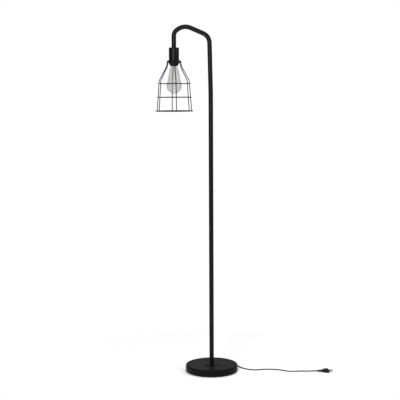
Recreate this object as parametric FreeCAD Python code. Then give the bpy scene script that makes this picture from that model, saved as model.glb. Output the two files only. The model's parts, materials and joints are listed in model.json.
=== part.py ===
import FreeCAD, Part
import math
import os
from FreeCAD import Vector

os.makedirs("parts", exist_ok=True)

# Wire cage floor lamp, in millimetres. Origin: centre of the base on the floor. +Z up, +X to the
# right of a viewer in front of the lamp, +Y away from that viewer. The shade hangs towards -X.

# ---- base -------------------------------------------------------------------------------------
base_radius = 110.0
base_top = 29.5              # upper face of the pressed cover above the floor
foot_height = 3.5            # gap between the floor and the cover's lower edge
cover_wall = 1.2
cover_edge_radius = 5.0
weight_gap = 3.8             # air between the iron and the side of the cover
weight_thickness = 18.0
weight_web = 5.0             # iron left above the nut recess
weight_recess_radius = 20.0
cord_groove_width = 8.0
cord_groove_head = 0.8       # air above the cord in its groove
boss_radius = 6.0
boss_circle = 60.0
boss_angles = (30.0, 150.0, 270.0)
plate_thickness = 1.2
plate_recess = 0.5           # plate lies this far up inside the cover's edge
plate_clearance = 0.4
screw_radius = 2.0
screw_head_radius = 3.8
screw_head_height = 2.0
screw_engagement = 7.0       # thread inside the iron
foot_count = 8
foot_radius = 9.0
foot_inset = 12.0            # foot centres inside the edge of the base
foot_edge_radius = 1.0
flange_radius = 30.0
flange_thickness = 2.0

# ---- M10 x 1 lamp hardware --------------------------------------------------------------------
nipple_radius = 5.0
nipple_bore = 3.5
nipple_clearance = 0.1
nut_across_flats = 14.0
nut_height = 3.0
washer_radius = 12.0
washer_thickness = 1.0
nipple_overhang = 0.5        # thread showing past its nut
holder_nipple_reach = 7.0    # nipple inside the holder's dome
cord_show = 1.0              # cord past the end of that nipple
bush_height = 12.0
bush_grip = 9.5              # nipple length inside each welded bush

# ---- pole and arch ----------------------------------------------------------------------------
tube_radius = 9.5
tube_wall = 1.2
arch_start = 1130.0          # height of the upper joint
lean_rise = 40.0             # corners of the arch, each above or beyond the one before
lean_offset = 5.0
shoulder_rise = 238.6
crown_reach = 106.8
crown_rise = 46.3
head_reach = 39.2
head_fall = 31.5
drop_length = 61.4           # last corner down to the top of the cup
lean_radius = 500.0
shoulder_radius = 44.0
crown_radius = 54.0
drop_radius = 29.0

# ---- lampholder -------------------------------------------------------------------------------
cup_height = 51.2
cup_radius = 21.0
cup_wall = 1.0
cup_edge_radius = 1.5
holder_gap = 0.5             # air between the cup and the dome and barrel inside it
holder_wall = 2.0
dome_depth = 32.0            # top of the cup to the split between dome and barrel
dome_boss_radius = 8.0
shell_wall = 0.4
barrel_wall = 1.5            # threaded neck that the cage hangs on
shoulder_lift = 0.2          # step inside the barrel, above the cup's lower edge
neck_length = 23.8           # barrel below the cup
shell_inset = 1.0            # screw shell inside that mouth
core_gap = 0.1
core_web = 5.5               # porcelain over the pocket
core_pocket_radius = 9.0
spring_room = 2.1            # air over the contact strip
contact_gap = 0.3            # contact strip over the bulb's solder tip
contact_thickness = 0.6
contact_length = 14.0
contact_width = 5.0
terminal_size = 6.0
terminal_height = 7.0
terminal_offset = 8.0
terminal_screw_radius = 1.2
conductor_radius = 1.0
skirt_lift = 3.0             # lower end of the shade ring above the mouth
skirt_wall = 1.5
skirt_height = 12.5
skirt_flare = 5.5
skirt_shoulder = 2.5

# ---- cage -------------------------------------------------------------------------------------
plate_radius = 31.0
sheet = 1.5
plate_rim_height = 2.4
plate_rim_width = 3.0        # the wires are welded under its middle
plate_drop = 4.0             # rim hangs this far under the clamped middle
wire_radius = 1.75
wire_count = 6
wire_first_angle = 8.0       # from the front (-Y) towards +X
wire_neck_spread = 5.1       # each corner of a wire beyond the one above
wire_neck_drop = 21.5        # heights along a wire, below the rim of the plate
wire_waist_spread = 33.1
wire_waist_drop = 77.5
wire_foot_spread = 9.9
neck_bend = 30.0
waist_bend = 22.0
weld_bite = 0.5
ring_drops = (89.6, 145.7)
hoop_drop = 202.5            # lowest ring, which carries the wire ends

# ---- bulb -------------------------------------------------------------------------------------
thread_pitch = 3.629
thread_depth = 0.95
thread_play = 0.25           # between a ridge and the opposite wall, sideways
cap_root = 12.1
shell_play = 0.55            # screw shell outside the crest of the cap's ridge
ridge_root_width = 2.0
ridge_crest_width = 0.9
ridge_embed = 0.2
cap_wall = 0.6
cap_show = 1.0               # cap below the mouth of the lampholder
cap_height = 22.0
cap_lip_height = 1.5
cap_shoulder_height = 1.5
cap_thread_lift = 3.6
thread_length = 16.33
insulator_height = 3.4
insulator_radius = 7.0
insulator_foot = 1.0         # chamfer at the foot of the insulator, inside the cap
tip_radius = 4.5
tip_height = 2.0
tip_bevel = 1.2
bulb_radius = 32.0
bulb_wide_drop = 83.0        # widest place below the edge of the cap
bulb_drop = 113.6            # lowest point below the edge of the cap
# shape of the glass: share of its radius, share of the way down to the widest place
bulb_shoulder = [(0.43, 0.035), (0.55, 0.11), (0.64, 0.27), (0.80, 0.60), (0.93, 0.83)]
# the same from there down to the lowest point
bulb_end = [(0.975, 0.20), (0.86, 0.46), (0.67, 0.67), (0.43, 0.86)]
glass_wall = 0.9
neck_gap = 0.1               # glass neck inside the cap's wall
neck_rise = 14.0
stem_rise = 10.0             # flared seat of the stem inside the neck
stem_flare_depth = 12.0
stem_seat_height = 1.5
stem_hollow = 6.0
stem_rod_radius = 3.2
stem_drop = 30.0             # lower end of the stem below the edge of the cap
filament_count = 4
filament_radius = 1.0
filament_gap = 9.0           # upper ends below the stem
filament_height = 36.0
filament_top_circle = 5.0
filament_bottom_circle = 9.5
lead_radius = 0.3
lead_spread = 0.4            # share of the filament circle where the leads leave the stem
lead_straight = 2.0
lead_bend = 1.0
hub_radius = 1.2
hub_height = 1.5
hub_drop = 6.0               # lower face of the hub below the filaments
driver_radius = 8.5
driver_thickness = 1.6
driver_gap = 1.0             # board above the glass neck
capacitor_radius = 2.8
capacitor_gap = 2.5          # top of the capacitor under the top of the cap

# ---- cord, switch and plug --------------------------------------------------------------------
cord_diameter = 4.4
exit_azimuth = 114.0         # the cord leaves the base at its rear left
exit_height = 11.5
grommet_length = 25.0        # strain relief outside the cover
grommet_neck_radius = 4.5
grommet_collar_radius = 5.6
grommet_collar = 2.0
grommet_root_radius = 4.4
grommet_tip_radius = 3.0
grommet_flange = 1.5
coil_center = (-5.0, 144.5)
coil_lift = 0.6              # the tie's band passes under the turns
coil_inner_radius = 17.8
coil_gap = 0.55              # air between neighbouring turns, sideways
coil_start_angle = 78.0
coil_end_angle = 20.0
coil_full_turns = 6
exit_straight = 14.8         # straight stretches beside what the cord leaves or meets
coil_approach = 15.0
coil_leave = 12.0
switch_approach = 16.0
switch_leave = 14.0
plug_approach = 14.0
tie_angle = 245.0
tie_width = 5.0
tie_thickness = 0.5
tie_slack = 0.1
tie_room = 1.0               # band inside the innermost turns
switch_start = (50.0, 120.0)
switch_heading = -38.0
switch_length = 50.0
switch_width = 20.0
switch_height = 11.0
switch_wall = 1.5
switch_corner = 5.0
switch_grip = 6.0            # cord held inside each end
rocker_length = 14.0
rocker_width = 8.0
rocker_gap = 0.7
rocker_pivot_depth = 3.0     # pivot below the top of the switch
rocker_rise = 3.5
rocker_dip = 1.0
rocker_depth = 2.6
rocker_tilt = 8.0
pivot_radius = 1.25
pivot_clearance = 0.05
pivot_length = 1.4
ear_thickness = 1.8
ear_length = 7.5
rocker_taper = 1.0
switch_screw_inset = 8.8     # from each end of the switch
switch_screw_side = 3.5      # from each side of the switch
switch_screw_radius = 0.9
switch_screw_head = 1.7
switch_screw_recess = 0.3
switch_post_radius = 2.4
contact_strip_width = 4.0
contact_strip_height = 2.4
contact_end_gap = 1.0
bridge_width = 2.0
bridge_thickness = 0.5
bridge_lift = 0.6
plug_start = (444.0, -31.5)
plug_heading = 3.0
plug_sleeve_length = 24.0
plug_sleeve_tip = 3.2
plug_sleeve_root = 4.6
plug_length = 26.0
plug_width = 35.3
plug_rear_width = 17.0
plug_thickness = 12.0
plug_edge = 2.5
plug_flank = 8.0             # straight sides behind the plug's face
pin_radius = 2.0
pin_length = 19.0
pin_spacing = 18.6
pin_embed = 8.0
pin_root_radius = 1.6        # the part moulded into the plug

# Free cord, chosen point by point (x, y, z). Each list is completed by the ends that it meets.
lead_points = [(-60.5, 153.5, 8.2), (-50.5, 169.0, 4.6), (-33.5, 179.4, 2.8)]
run_points = [(106.9, 70.6, 3.8), (117.0, 55.5, 2.3), (131.5, 32.0, 2.3),
              (149.0, 13.5, 2.3), (168.5, 1.0, 2.3), (192.0, 0.0, 2.3), (214.0, 6.5, 2.3),
              (238.0, 9.0, 2.3), (262.0, 7.0, 2.3), (285.0, 0.5, 2.3), (304.5, -11.0, 2.3),
              (322.0, -22.5, 2.3), (341.0, -26.5, 2.3), (362.0, -23.0, 2.3), (381.0, -20.5, 2.3),
              (398.0, -22.5, 2.3), (414.0, -28.3, 3.9)]

# ---- values that follow from the sizes above --------------------------------------------------
cord_radius = cord_diameter / 2
nipple_hole = nipple_radius + nipple_clearance
cover_under = base_top - cover_wall
weight_radius = base_radius - cover_wall - weight_gap
foot_circle = base_radius - foot_inset
weight_bottom = cover_under - weight_thickness
web_bottom = cover_under - weight_web
plate_bottom = foot_height + plate_recess
plate_top = plate_bottom + plate_thickness
foot_nut_top = web_bottom - washer_thickness
foot_nipple_bottom = foot_nut_top - nut_height - nipple_overhang
pole_bottom = base_top + flange_thickness
tube_bore = tube_radius - tube_wall
middle_joint = (pole_bottom + arch_start) / 2
lean_start = arch_start + lean_rise
shoulder_height = lean_start + shoulder_rise
crown_x = -lean_offset - crown_reach
crown_height = shoulder_height + crown_rise
head_x = crown_x - head_reach                # axis of lampholder, cage and bulb
drop_top = crown_height - head_fall
cup_top = drop_top - drop_length
cup_bottom = cup_top - cup_height
cup_ceiling = cup_top - cup_wall
holder_nut_bottom = cup_ceiling - nut_height
plate_middle_under = cup_bottom - sheet
plate_rim_bottom = cup_bottom - plate_drop - plate_rim_height
dome_split = cup_top - dome_depth
shoulder_in_barrel = cup_bottom + shoulder_lift
mouth_height = cup_bottom - neck_length
cap_crest = cap_root + thread_depth
shell_crest = cap_root + thread_play
shell_bore = cap_crest + shell_play
shell_radius = shell_bore + shell_wall
barrel_radius = shell_radius + barrel_wall
holder_radius = cup_radius - cup_wall - holder_gap
chamber_radius = holder_radius - holder_wall
core_radius = chamber_radius - core_gap
neck_radius = cap_root - cap_wall - neck_gap
skirt_bottom_radius = barrel_radius + skirt_wall
skirt_top_radius = skirt_bottom_radius + skirt_flare
skirt_bottom = mouth_height + skirt_lift
skirt_top = skirt_bottom + skirt_height
wire_top_radius = plate_radius - plate_rim_width / 2
wire_neck_radius = wire_top_radius + wire_neck_spread
wire_waist_radius = wire_neck_radius + wire_waist_spread
wire_foot_radius = wire_waist_radius + wire_foot_spread
wire_neck_height = plate_rim_bottom - wire_neck_drop
wire_waist_height = plate_rim_bottom - wire_waist_drop
ring_heights = [plate_rim_bottom - drop for drop in ring_drops]
hoop_height = plate_rim_bottom - hoop_drop
hoop_radius = wire_foot_radius
cap_bottom = mouth_height - cap_show
cap_top = cap_bottom + cap_height
cap_thread_start = cap_bottom + cap_thread_lift
neck_top = cap_bottom + neck_rise
stem_top = cap_bottom + stem_rise
stem_flare_height = stem_top - stem_flare_depth
stem_bottom = cap_bottom - stem_drop
bulb_wide_height = cap_bottom - bulb_wide_drop
bulb_bottom = cap_bottom - bulb_drop
filament_top = stem_bottom - filament_gap
filament_bottom = filament_top - filament_height
insulator_top = cap_top + insulator_height
tip_top = insulator_top + tip_height
coil_pitch = cord_diameter + coil_gap
rocker_pivot_height = switch_height - rocker_pivot_depth
exit_direction = Vector(math.cos(math.radians(exit_azimuth)), math.sin(math.radians(exit_azimuth)), 0)
inner_bend = foot_nipple_bottom - exit_height


def save(name, shape):
    shape.exportStep("parts/" + name + ".step")


def group(shapes):
    return Part.makeCompound(shapes)


def cylinder(radius, bottom, top, x=0.0, y=0.0):
    return Part.makeCylinder(radius, top - bottom, Vector(x, y, bottom))


def ring_solid(outer, inner, bottom, top, x=0.0, y=0.0):
    return cylinder(outer, bottom, top, x, y).cut(cylinder(inner, bottom, top, x, y))


def turned(outline, x=0.0):
    # outline: (radius, height) corners of the closed half section
    corners = [Vector(x + radius, 0, height) for radius, height in outline]
    face = Part.Face(Part.makePolygon(corners + corners[:1]))
    return face.revolve(Vector(x, 0, 0), Vector(0, 0, 1), 360)


def hexagon(across_flats, bottom, top, x=0.0, y=0.0):
    corner = across_flats / math.sqrt(3)
    angles = [math.radians(60 * side) for side in range(7)]
    outline = [Vector(x + corner * math.cos(a), y + corner * math.sin(a), bottom) for a in angles]
    return Part.Face(Part.makePolygon(outline)).extrude(Vector(0, 0, top - bottom))


def lamp_nut(bottom, x=0.0):
    nut = hexagon(nut_across_flats, bottom, bottom + nut_height, x)
    return nut.cut(cylinder(nipple_radius, bottom, bottom + nut_height, x))


def lamp_nipple(bottom, top, x=0.0):
    return ring_solid(nipple_radius, nipple_bore, bottom, top, x)


def arc_through(start, corner, end):
    # arc that leaves start towards corner and reaches end from corner
    middle = (start + end) * 0.5
    half_chord = (end - start).Length / 2
    to_corner = corner - middle
    edge_angle = math.atan2(to_corner.Length, half_chord)
    bulge = half_chord * math.tan(edge_angle / 2)
    on_arc = middle + to_corner * (bulge / to_corner.Length)
    return Part.Arc(start, on_arc, end).toShape()


def rounded_path(points, radii):
    # straight runs through the points, joined by tangent arcs of the given radii
    edges = []
    here = points[0]
    for before, corner, after, radius in zip(points, points[1:], points[2:], radii):
        back = (before - corner).normalize()
        onward = (after - corner).normalize()
        half_turn = (math.pi - back.getAngle(onward)) / 2
        reach = radius * math.tan(half_turn)
        arc_start = corner + back * reach
        arc_end = corner + onward * reach
        edges.append(Part.LineSegment(here, arc_start).toShape())
        edges.append(arc_through(arc_start, corner, arc_end))
        here = arc_end
    edges.append(Part.LineSegment(here, points[-1]).toShape())
    return Part.Wire(edges)


def swept(path, radius):
    first = path.Edges[0]
    start = first.valueAt(first.FirstParameter)
    along = first.tangentAt(first.FirstParameter)
    circle = Part.Wire(Part.makeCircle(radius, start, along))
    return path.makePipeShell([circle], True, False)


def cord_radii(points):
    # each arc is as large as its two runs allow
    radii = []
    for before, corner, after in zip(points, points[1:], points[2:]):
        back = before - corner
        onward = after - corner
        half_turn = (math.pi - back.getAngle(onward)) / 2
        radii.append(0.45 * min(back.Length, onward.Length) / math.tan(half_turn))
    return radii


def cord_tube(name, points):
    radii = cord_radii(points)
    path = rounded_path(points, radii)
    tube = swept(path, cord_radius)
    expected = math.pi * cord_radius ** 2 * path.Length
    print(name, "length %.1f" % path.Length, "volume ratio %.5f" % (tube.Volume / expected),
          "radii", " ".join("%.0f" % radius for radius in radii))
    save(name, tube)
    return path.Length


def heading_vector(degrees):
    return Vector(math.cos(math.radians(degrees)), math.sin(math.radians(degrees)), 0)


# ---- base -------------------------------------------------------------------------------------
def base_cover():
    outer = cylinder(base_radius, foot_height, base_top)
    top_edge = [e for e in outer.Edges if abs(e.BoundBox.ZMin - base_top) < 0.01 and e.Closed]
    outer = outer.makeFillet(cover_edge_radius, top_edge)
    inner = cylinder(base_radius - cover_wall, foot_height, cover_under)
    top_edge = [e for e in inner.Edges if abs(e.BoundBox.ZMin - cover_under) < 0.01 and e.Closed]
    inner = inner.makeFillet(cover_edge_radius - cover_wall, top_edge)
    cover = outer.cut(inner).cut(cylinder(nipple_hole, cover_under, base_top))
    hole = Part.makeCylinder(grommet_neck_radius, 4 * cover_wall,
                             exit_direction * (base_radius - 3 * cover_wall) + Vector(0, 0, exit_height),
                             exit_direction)
    return cover.cut(hole)


def boss_places():
    return [heading_vector(angle) * boss_circle for angle in boss_angles]


def base_weight():
    weight = cylinder(weight_radius, weight_bottom, cover_under)
    top_edge = [e for e in weight.Edges if abs(e.BoundBox.ZMin - cover_under) < 0.01 and e.Closed]
    weight = weight.makeChamfer(cover_edge_radius - cover_wall, top_edge)
    weight = weight.cut(cylinder(weight_recess_radius, weight_bottom, web_bottom))
    weight = weight.cut(cylinder(nipple_hole, web_bottom, cover_under))
    for place in boss_places():
        weight = weight.fuse(cylinder(boss_radius, plate_top, weight_bottom, place.x, place.y))
    screw_top = weight_bottom + screw_engagement
    for place in boss_places():
        weight = weight.cut(cylinder(screw_radius, plate_top, screw_top, place.x, place.y))
    groove_top = exit_height + cord_radius + cord_groove_head
    groove = Part.makeBox(weight_radius + cord_groove_width, cord_groove_width,
                          groove_top - weight_bottom, Vector(0, -cord_groove_width / 2, weight_bottom))
    groove.rotate(Vector(0, 0, 0), Vector(0, 0, 1), exit_azimuth)
    return weight.cut(groove).removeSplitter()


def base_bottom_plate():
    plate = cylinder(base_radius - cover_wall - plate_clearance, plate_bottom, plate_top)
    for place in boss_places():
        plate = plate.cut(cylinder(screw_radius, plate_bottom, plate_top, place.x, place.y))
    return plate


def plate_screws():
    screws = []
    for place in boss_places():
        shank = cylinder(screw_radius, plate_bottom, weight_bottom + screw_engagement, place.x, place.y)
        head = cylinder(screw_head_radius, plate_bottom - screw_head_height, plate_bottom, place.x, place.y)
        screws.append(head.fuse(shank))
    return group(screws)


def rubber_feet():
    feet = []
    for index in range(foot_count):
        angle = (index + 0.5) * 360.0 / foot_count
        place = heading_vector(angle) * foot_circle
        foot = cylinder(foot_radius, 0, plate_bottom, place.x, place.y)
        lower_edge = [e for e in foot.Edges if e.BoundBox.ZMax < 0.01]
        feet.append(foot.makeFillet(foot_edge_radius, lower_edge))
    return group(feet)


def grommet():
    # built along +Z from the cover's outer face, then laid along the exit direction
    inner_face = base_radius - math.sqrt((base_radius - cover_wall) ** 2 - grommet_collar_radius ** 2)
    outline = [(cord_radius, -inner_face - grommet_flange),
               (grommet_collar_radius, -inner_face - grommet_flange),
               (grommet_collar_radius, -inner_face), (grommet_neck_radius, -inner_face),
               (grommet_neck_radius, 0), (grommet_collar_radius, 0),
               (grommet_collar_radius, grommet_collar), (grommet_root_radius, grommet_collar),
               (grommet_tip_radius, grommet_length), (cord_radius, grommet_length)]
    relief = turned(outline)
    relief.rotate(Vector(0, 0, 0), Vector(0, 1, 0), 90)
    relief.rotate(Vector(0, 0, 0), Vector(0, 0, 1), exit_azimuth)
    relief.translate(exit_direction * base_radius + Vector(0, 0, exit_height))
    return relief


save("base_cover", base_cover())
save("base_weight", base_weight())
save("base_bottom_plate", base_bottom_plate())
save("bottom_plate_screws", plate_screws())
save("rubber_feet", rubber_feet())
save("cord_strain_relief", grommet())
save("foot_washer", ring_solid(washer_radius, nipple_hole, foot_nut_top, web_bottom))
save("foot_nut", lamp_nut(foot_nut_top - nut_height))
save("pole_flange", ring_solid(flange_radius, nipple_hole, base_top, pole_bottom))
save("foot_nipple", lamp_nipple(foot_nipple_bottom, pole_bottom + bush_grip))

# ---- pole and arch ----------------------------------------------------------------------------
save("lower_pole", ring_solid(tube_radius, tube_bore, pole_bottom, middle_joint))
save("middle_pole", ring_solid(tube_radius, tube_bore, middle_joint, arch_start))

arch_corners = [Vector(0, 0, lean_start), Vector(-lean_offset, 0, shoulder_height),
                Vector(crown_x, 0, crown_height), Vector(head_x, 0, drop_top)]
arch_bends = [lean_radius, shoulder_radius, crown_radius, drop_radius]
arch_path = rounded_path([Vector(0, 0, arch_start)] + arch_corners + [Vector(head_x, 0, cup_top)],
                         arch_bends)
save("arch_tube", swept(arch_path, tube_radius).cut(swept(arch_path, tube_bore)))
print("arch length %.1f" % arch_path.Length)

bush_places = [(pole_bottom, 0.0), (middle_joint - bush_height, 0.0), (middle_joint, 0.0),
               (arch_start - bush_height, 0.0), (arch_start, 0.0), (cup_top, head_x)]
save("pole_bushes", group([ring_solid(tube_bore, nipple_radius, bottom, bottom + bush_height, x)
                           for bottom, x in bush_places]))
save("joint_nipples", group([lamp_nipple(joint - bush_grip, joint + bush_grip)
                             for joint in (middle_joint, arch_start)]))

# The mains cord inside the lamp: strain relief, base, pole and arch down to the lampholder.
holder_nipple_bottom = holder_nut_bottom - holder_nipple_reach
cord_end = holder_nipple_bottom - cord_show
exit_tip = exit_direction * (base_radius + grommet_length) + Vector(0, 0, exit_height)
inner_path = rounded_path([exit_tip, Vector(0, 0, exit_height)] + arch_corners
                          + [Vector(head_x, 0, cord_end)], [inner_bend] + arch_bends)
save("inner_cord", swept(inner_path, cord_radius))
print("cord inside the lamp %.1f" % inner_path.Length)


# ---- lampholder -------------------------------------------------------------------------------
def holder_cup():
    outer = cylinder(cup_radius, cup_bottom, cup_top, head_x)
    top_edge = [e for e in outer.Edges if abs(e.BoundBox.ZMin - cup_top) < 0.01 and e.Closed]
    outer = outer.makeFillet(cup_edge_radius, top_edge)
    cup = outer.cut(cylinder(cup_radius - cup_wall, cup_bottom, cup_ceiling, head_x))
    return cup.cut(cylinder(nipple_hole, cup_ceiling, cup_top, head_x))


dome_roof = holder_nut_bottom - 2 * holder_wall
save("holder_cup", holder_cup())
save("holder_nut", lamp_nut(holder_nut_bottom, head_x))
save("holder_nipple", lamp_nipple(holder_nipple_bottom, cup_top + bush_grip, head_x))
save("holder_dome", turned([(nipple_radius, holder_nut_bottom), (dome_boss_radius, holder_nut_bottom),
                            (dome_boss_radius, dome_roof), (chamber_radius, dome_roof),
                            (holder_radius, dome_roof - holder_wall), (holder_radius, dome_split),
                            (chamber_radius, dome_split), (chamber_radius, dome_roof - 2 * holder_wall),
                            (nipple_radius, dome_roof - 2 * holder_wall)], head_x))
save("holder_barrel", turned([(barrel_radius, mouth_height), (barrel_radius, cup_bottom),
                              (holder_radius, cup_bottom), (holder_radius, dome_split),
                              (chamber_radius, dome_split), (chamber_radius, shoulder_in_barrel),
                              (shell_radius, shoulder_in_barrel), (shell_radius, mouth_height)], head_x))


def helical_ridge(root, crest, start, outward):
    # a thread ridge on a wall of radius root, embedded slightly so that it joins the wall
    helix = Part.makeHelix(thread_pitch, thread_length, root)
    inside = root - ridge_embed if outward else root + ridge_embed
    profile = [Vector(inside, 0, -ridge_root_width / 2), Vector(crest, 0, -ridge_crest_width / 2),
               Vector(crest, 0, ridge_crest_width / 2), Vector(inside, 0, ridge_root_width / 2)]
    section = Part.makePolygon(profile + profile[:1])
    ridge = Part.Wire(helix).makePipeShell([section], True, True)
    ridge.translate(Vector(head_x, 0, start))
    return ridge


shell_bottom = mouth_height + shell_inset
shell_flange_top = shoulder_in_barrel + shell_wall
shell_thread_start = cap_thread_start + thread_pitch / 2


def screw_shell():
    shell = turned([(shell_bore, shell_bottom), (shell_radius, shell_bottom),
                    (shell_radius, shoulder_in_barrel), (core_radius, shoulder_in_barrel),
                    (core_radius, shell_flange_top), (shell_bore, shell_flange_top)], head_x)
    return shell.fuse(helical_ridge(shell_bore, shell_crest, shell_thread_start, False))


contact_bottom = tip_top + contact_gap
pocket_top = contact_bottom + contact_thickness + spring_room
core_top = pocket_top + core_web


def holder_core():
    core = cylinder(core_radius, shell_flange_top, core_top, head_x)
    return core.cut(cylinder(core_pocket_radius, shell_flange_top, pocket_top, head_x))


def centre_contact():
    strip = Part.makeBox(contact_length, contact_width, contact_thickness,
                         Vector(head_x - contact_length / 2, -contact_width / 2, contact_bottom))
    rivet = Part.makeBox(contact_width / 2, contact_width, pocket_top - contact_bottom,
                         Vector(head_x + contact_length / 2 - contact_width / 2, -contact_width / 2,
                                contact_bottom))
    return strip.fuse(rivet)


def terminals():
    blocks = []
    screws = []
    for side in (-1, 1):
        x = head_x + side * terminal_offset
        block = Part.makeBox(terminal_size, terminal_size, terminal_height,
                             Vector(x - terminal_size / 2, -terminal_size / 2, core_top))
        screw_axis = Vector(x, -terminal_size, core_top + terminal_height / 2)
        screw = Part.makeCylinder(terminal_screw_radius, terminal_size, screw_axis, Vector(0, 1, 0))
        head = Part.makeCylinder(2 * terminal_screw_radius, terminal_size / 4,
                                 screw_axis + Vector(0, terminal_size / 4, 0), Vector(0, 1, 0))
        hole = cylinder(conductor_radius, core_top + terminal_height / 2, core_top + terminal_height, x)
        screw = screw.fuse(head)
        blocks.append(block.cut(screw).cut(hole))
        screws.append(screw.cut(hole))
    return group(blocks), group(screws)


def conductors():
    wires = []
    for side in (-1, 1):
        x = head_x + side * terminal_offset
        split = head_x + side * conductor_radius
        top = cord_end
        bottom = core_top + terminal_height / 2
        slope = (top - bottom) / 3
        corners = [Vector(split, 0, top), Vector(split, 0, top - slope / 2),
                   Vector(x, 0, bottom + slope), Vector(x, 0, bottom)]
        wires.append(swept(rounded_path(corners, [conductor_radius * 2] * 2), conductor_radius))
    return group(wires)


save("screw_shell", screw_shell())
save("holder_core", holder_core())
save("centre_contact", centre_contact())
terminal_blocks, terminal_screws = terminals()
save("terminal_blocks", terminal_blocks)
save("terminal_screws", terminal_screws)
save("core_conductors", conductors())
save("shade_ring", turned([(barrel_radius, skirt_bottom), (skirt_bottom_radius, skirt_bottom),
                           (skirt_top_radius, skirt_top), (skirt_top_radius, skirt_top + skirt_shoulder),
                           (skirt_top_radius - skirt_shoulder, plate_middle_under),
                           (barrel_radius, plate_middle_under)], head_x))

# ---- cage -------------------------------------------------------------------------------------
rim_top = plate_rim_bottom + plate_rim_height
save("cage_top_plate", turned([(barrel_radius, cup_bottom), (cup_radius, cup_bottom),
                               (plate_radius, rim_top), (plate_radius, plate_rim_bottom),
                               (plate_radius - plate_rim_width, plate_rim_bottom),
                               (plate_radius - plate_rim_width, rim_top - sheet / 2),
                               (cup_radius, plate_middle_under), (barrel_radius, plate_middle_under)],
                              head_x))


def wire_radius_at(height):
    # centre line of a wire between its waist and its foot
    share = (wire_waist_height - height) / (wire_waist_height - hoop_height)
    return wire_waist_radius + share * (wire_foot_radius - wire_waist_radius)


def hoop(radius, height):
    return Part.makeTorus(radius, wire_radius, Vector(head_x, 0, height))


rings = [hoop(wire_radius_at(height) - 2 * wire_radius + weld_bite, height) for height in ring_heights]
foot_ring = hoop(hoop_radius, hoop_height)
save("cage_ring_upper", rings[0])
save("cage_ring_middle", rings[1])
save("cage_ring_lower", foot_ring)

wire_path = rounded_path([Vector(0, -wire_top_radius, plate_rim_bottom),
                          Vector(0, -wire_neck_radius, wire_neck_height),
                          Vector(0, -wire_waist_radius, wire_waist_height),
                          Vector(0, -wire_foot_radius, hoop_height)], [neck_bend, waist_bend])
for index in range(wire_count):
    wire = swept(wire_path, wire_radius)
    above_plate = Part.makeBox(4 * plate_radius, 4 * plate_radius, plate_drop,
                               Vector(-2 * plate_radius, -2 * plate_radius, plate_rim_bottom))
    wire = wire.cut(above_plate)
    wire.rotate(Vector(0, 0, 0), Vector(0, 0, 1), wire_first_angle + index * 360.0 / wire_count)
    wire.translate(Vector(head_x, 0, 0))
    for ring in rings + [foot_ring]:
        wire = wire.cut(ring)
    wire = max(wire.Solids, key=lambda solid: solid.Volume)
    save("cage_wire_%d" % (index + 1), wire)


# ---- bulb -------------------------------------------------------------------------------------
def bulb_outline(wall):
    # glass surface from the neck to the lowest point, moved inwards by wall
    below = [(neck_radius, cap_bottom)]
    below += [(wide * bulb_radius, cap_bottom - down * bulb_wide_drop) for wide, down in bulb_shoulder]
    below.append((bulb_radius, bulb_wide_height))
    drop = bulb_wide_height - bulb_bottom
    below += [(wide * bulb_radius, bulb_wide_height - down * drop) for wide, down in bulb_end]
    below.append((0.0, bulb_bottom))
    lowest = len(below) - 1
    return [(max(radius - wall, 0.0), height + wall * (index / lowest) ** 2)
            for index, (radius, height) in enumerate(below)]


def bulb_body(wall):
    outline = [Vector(head_x + radius, 0, height) for radius, height in bulb_outline(wall)]
    curve = Part.BSplineCurve()
    curve.interpolate(Points=outline, InitialTangent=Vector(0, 0, -1), FinalTangent=Vector(-1, 0, 0))
    neck_start = Vector(head_x + neck_radius - wall, 0, neck_top)
    axis_top = Vector(head_x, 0, neck_top)
    edges = [Part.LineSegment(axis_top, neck_start).toShape(),
             Part.LineSegment(neck_start, outline[0]).toShape(), curve.toShape(),
             Part.LineSegment(outline[-1], axis_top).toShape()]
    face = Part.Face(Part.Wire(edges))
    return face.revolve(Vector(head_x, 0, 0), Vector(0, 0, 1), 360)


def bulb_cap():
    outline = [(cap_root - cap_wall, cap_bottom), (cap_crest, cap_bottom),
               (cap_root, cap_bottom + cap_lip_height), (cap_root, cap_top),
               (insulator_radius, cap_top + cap_shoulder_height),
               (insulator_radius, cap_top + cap_shoulder_height - cap_wall),
               (cap_root - cap_wall, cap_top - cap_wall)]
    cap = turned(outline, head_x)
    return cap.fuse(helical_ridge(cap_root, cap_crest, cap_thread_start, True))


def bulb_stem():
    flare = neck_radius - glass_wall
    return turned([(0, stem_top - stem_hollow), (flare - glass_wall, stem_top), (flare, stem_top),
                   (flare, stem_top - stem_seat_height),
                   (stem_rod_radius, stem_flare_height), (stem_rod_radius, stem_bottom), (0, stem_bottom)],
                  head_x)


def filament_ends():
    ends = []
    for index in range(filament_count):
        out = heading_vector(45 + index * 360.0 / filament_count)
        ends.append((Vector(head_x, 0, filament_top) + out * filament_top_circle,
                     Vector(head_x, 0, filament_bottom) + out * filament_bottom_circle))
    return ends


def filaments():
    return group([Part.makeCylinder(filament_radius, (low - high).Length, high, low - high)
                  for high, low in filament_ends()])


def filament_leads():
    # a wire from the stem to the top of each filament, and a star that joins the lower ends
    leads = []
    for high, low in filament_ends():
        along = (low - high).normalize()
        start = Vector(head_x + (high.x - head_x) * lead_spread, high.y * lead_spread, stem_bottom)
        path = rounded_path([start, start - Vector(0, 0, lead_straight), high - along * lead_straight, high],
                            [lead_bend] * 2)
        leads.append(swept(path, lead_radius))
    hub_bottom = filament_bottom - hub_drop
    hub = cylinder(hub_radius, hub_bottom, hub_bottom + hub_height, head_x)
    for high, low in filament_ends():
        along = (low - high).normalize()
        target = Vector(head_x, 0, hub_bottom + hub_height / 2)
        path = rounded_path([low, low + along * lead_straight, target], [lead_bend])
        hub = hub.fuse(swept(path, lead_radius))
    return group(leads + [hub])


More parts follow.
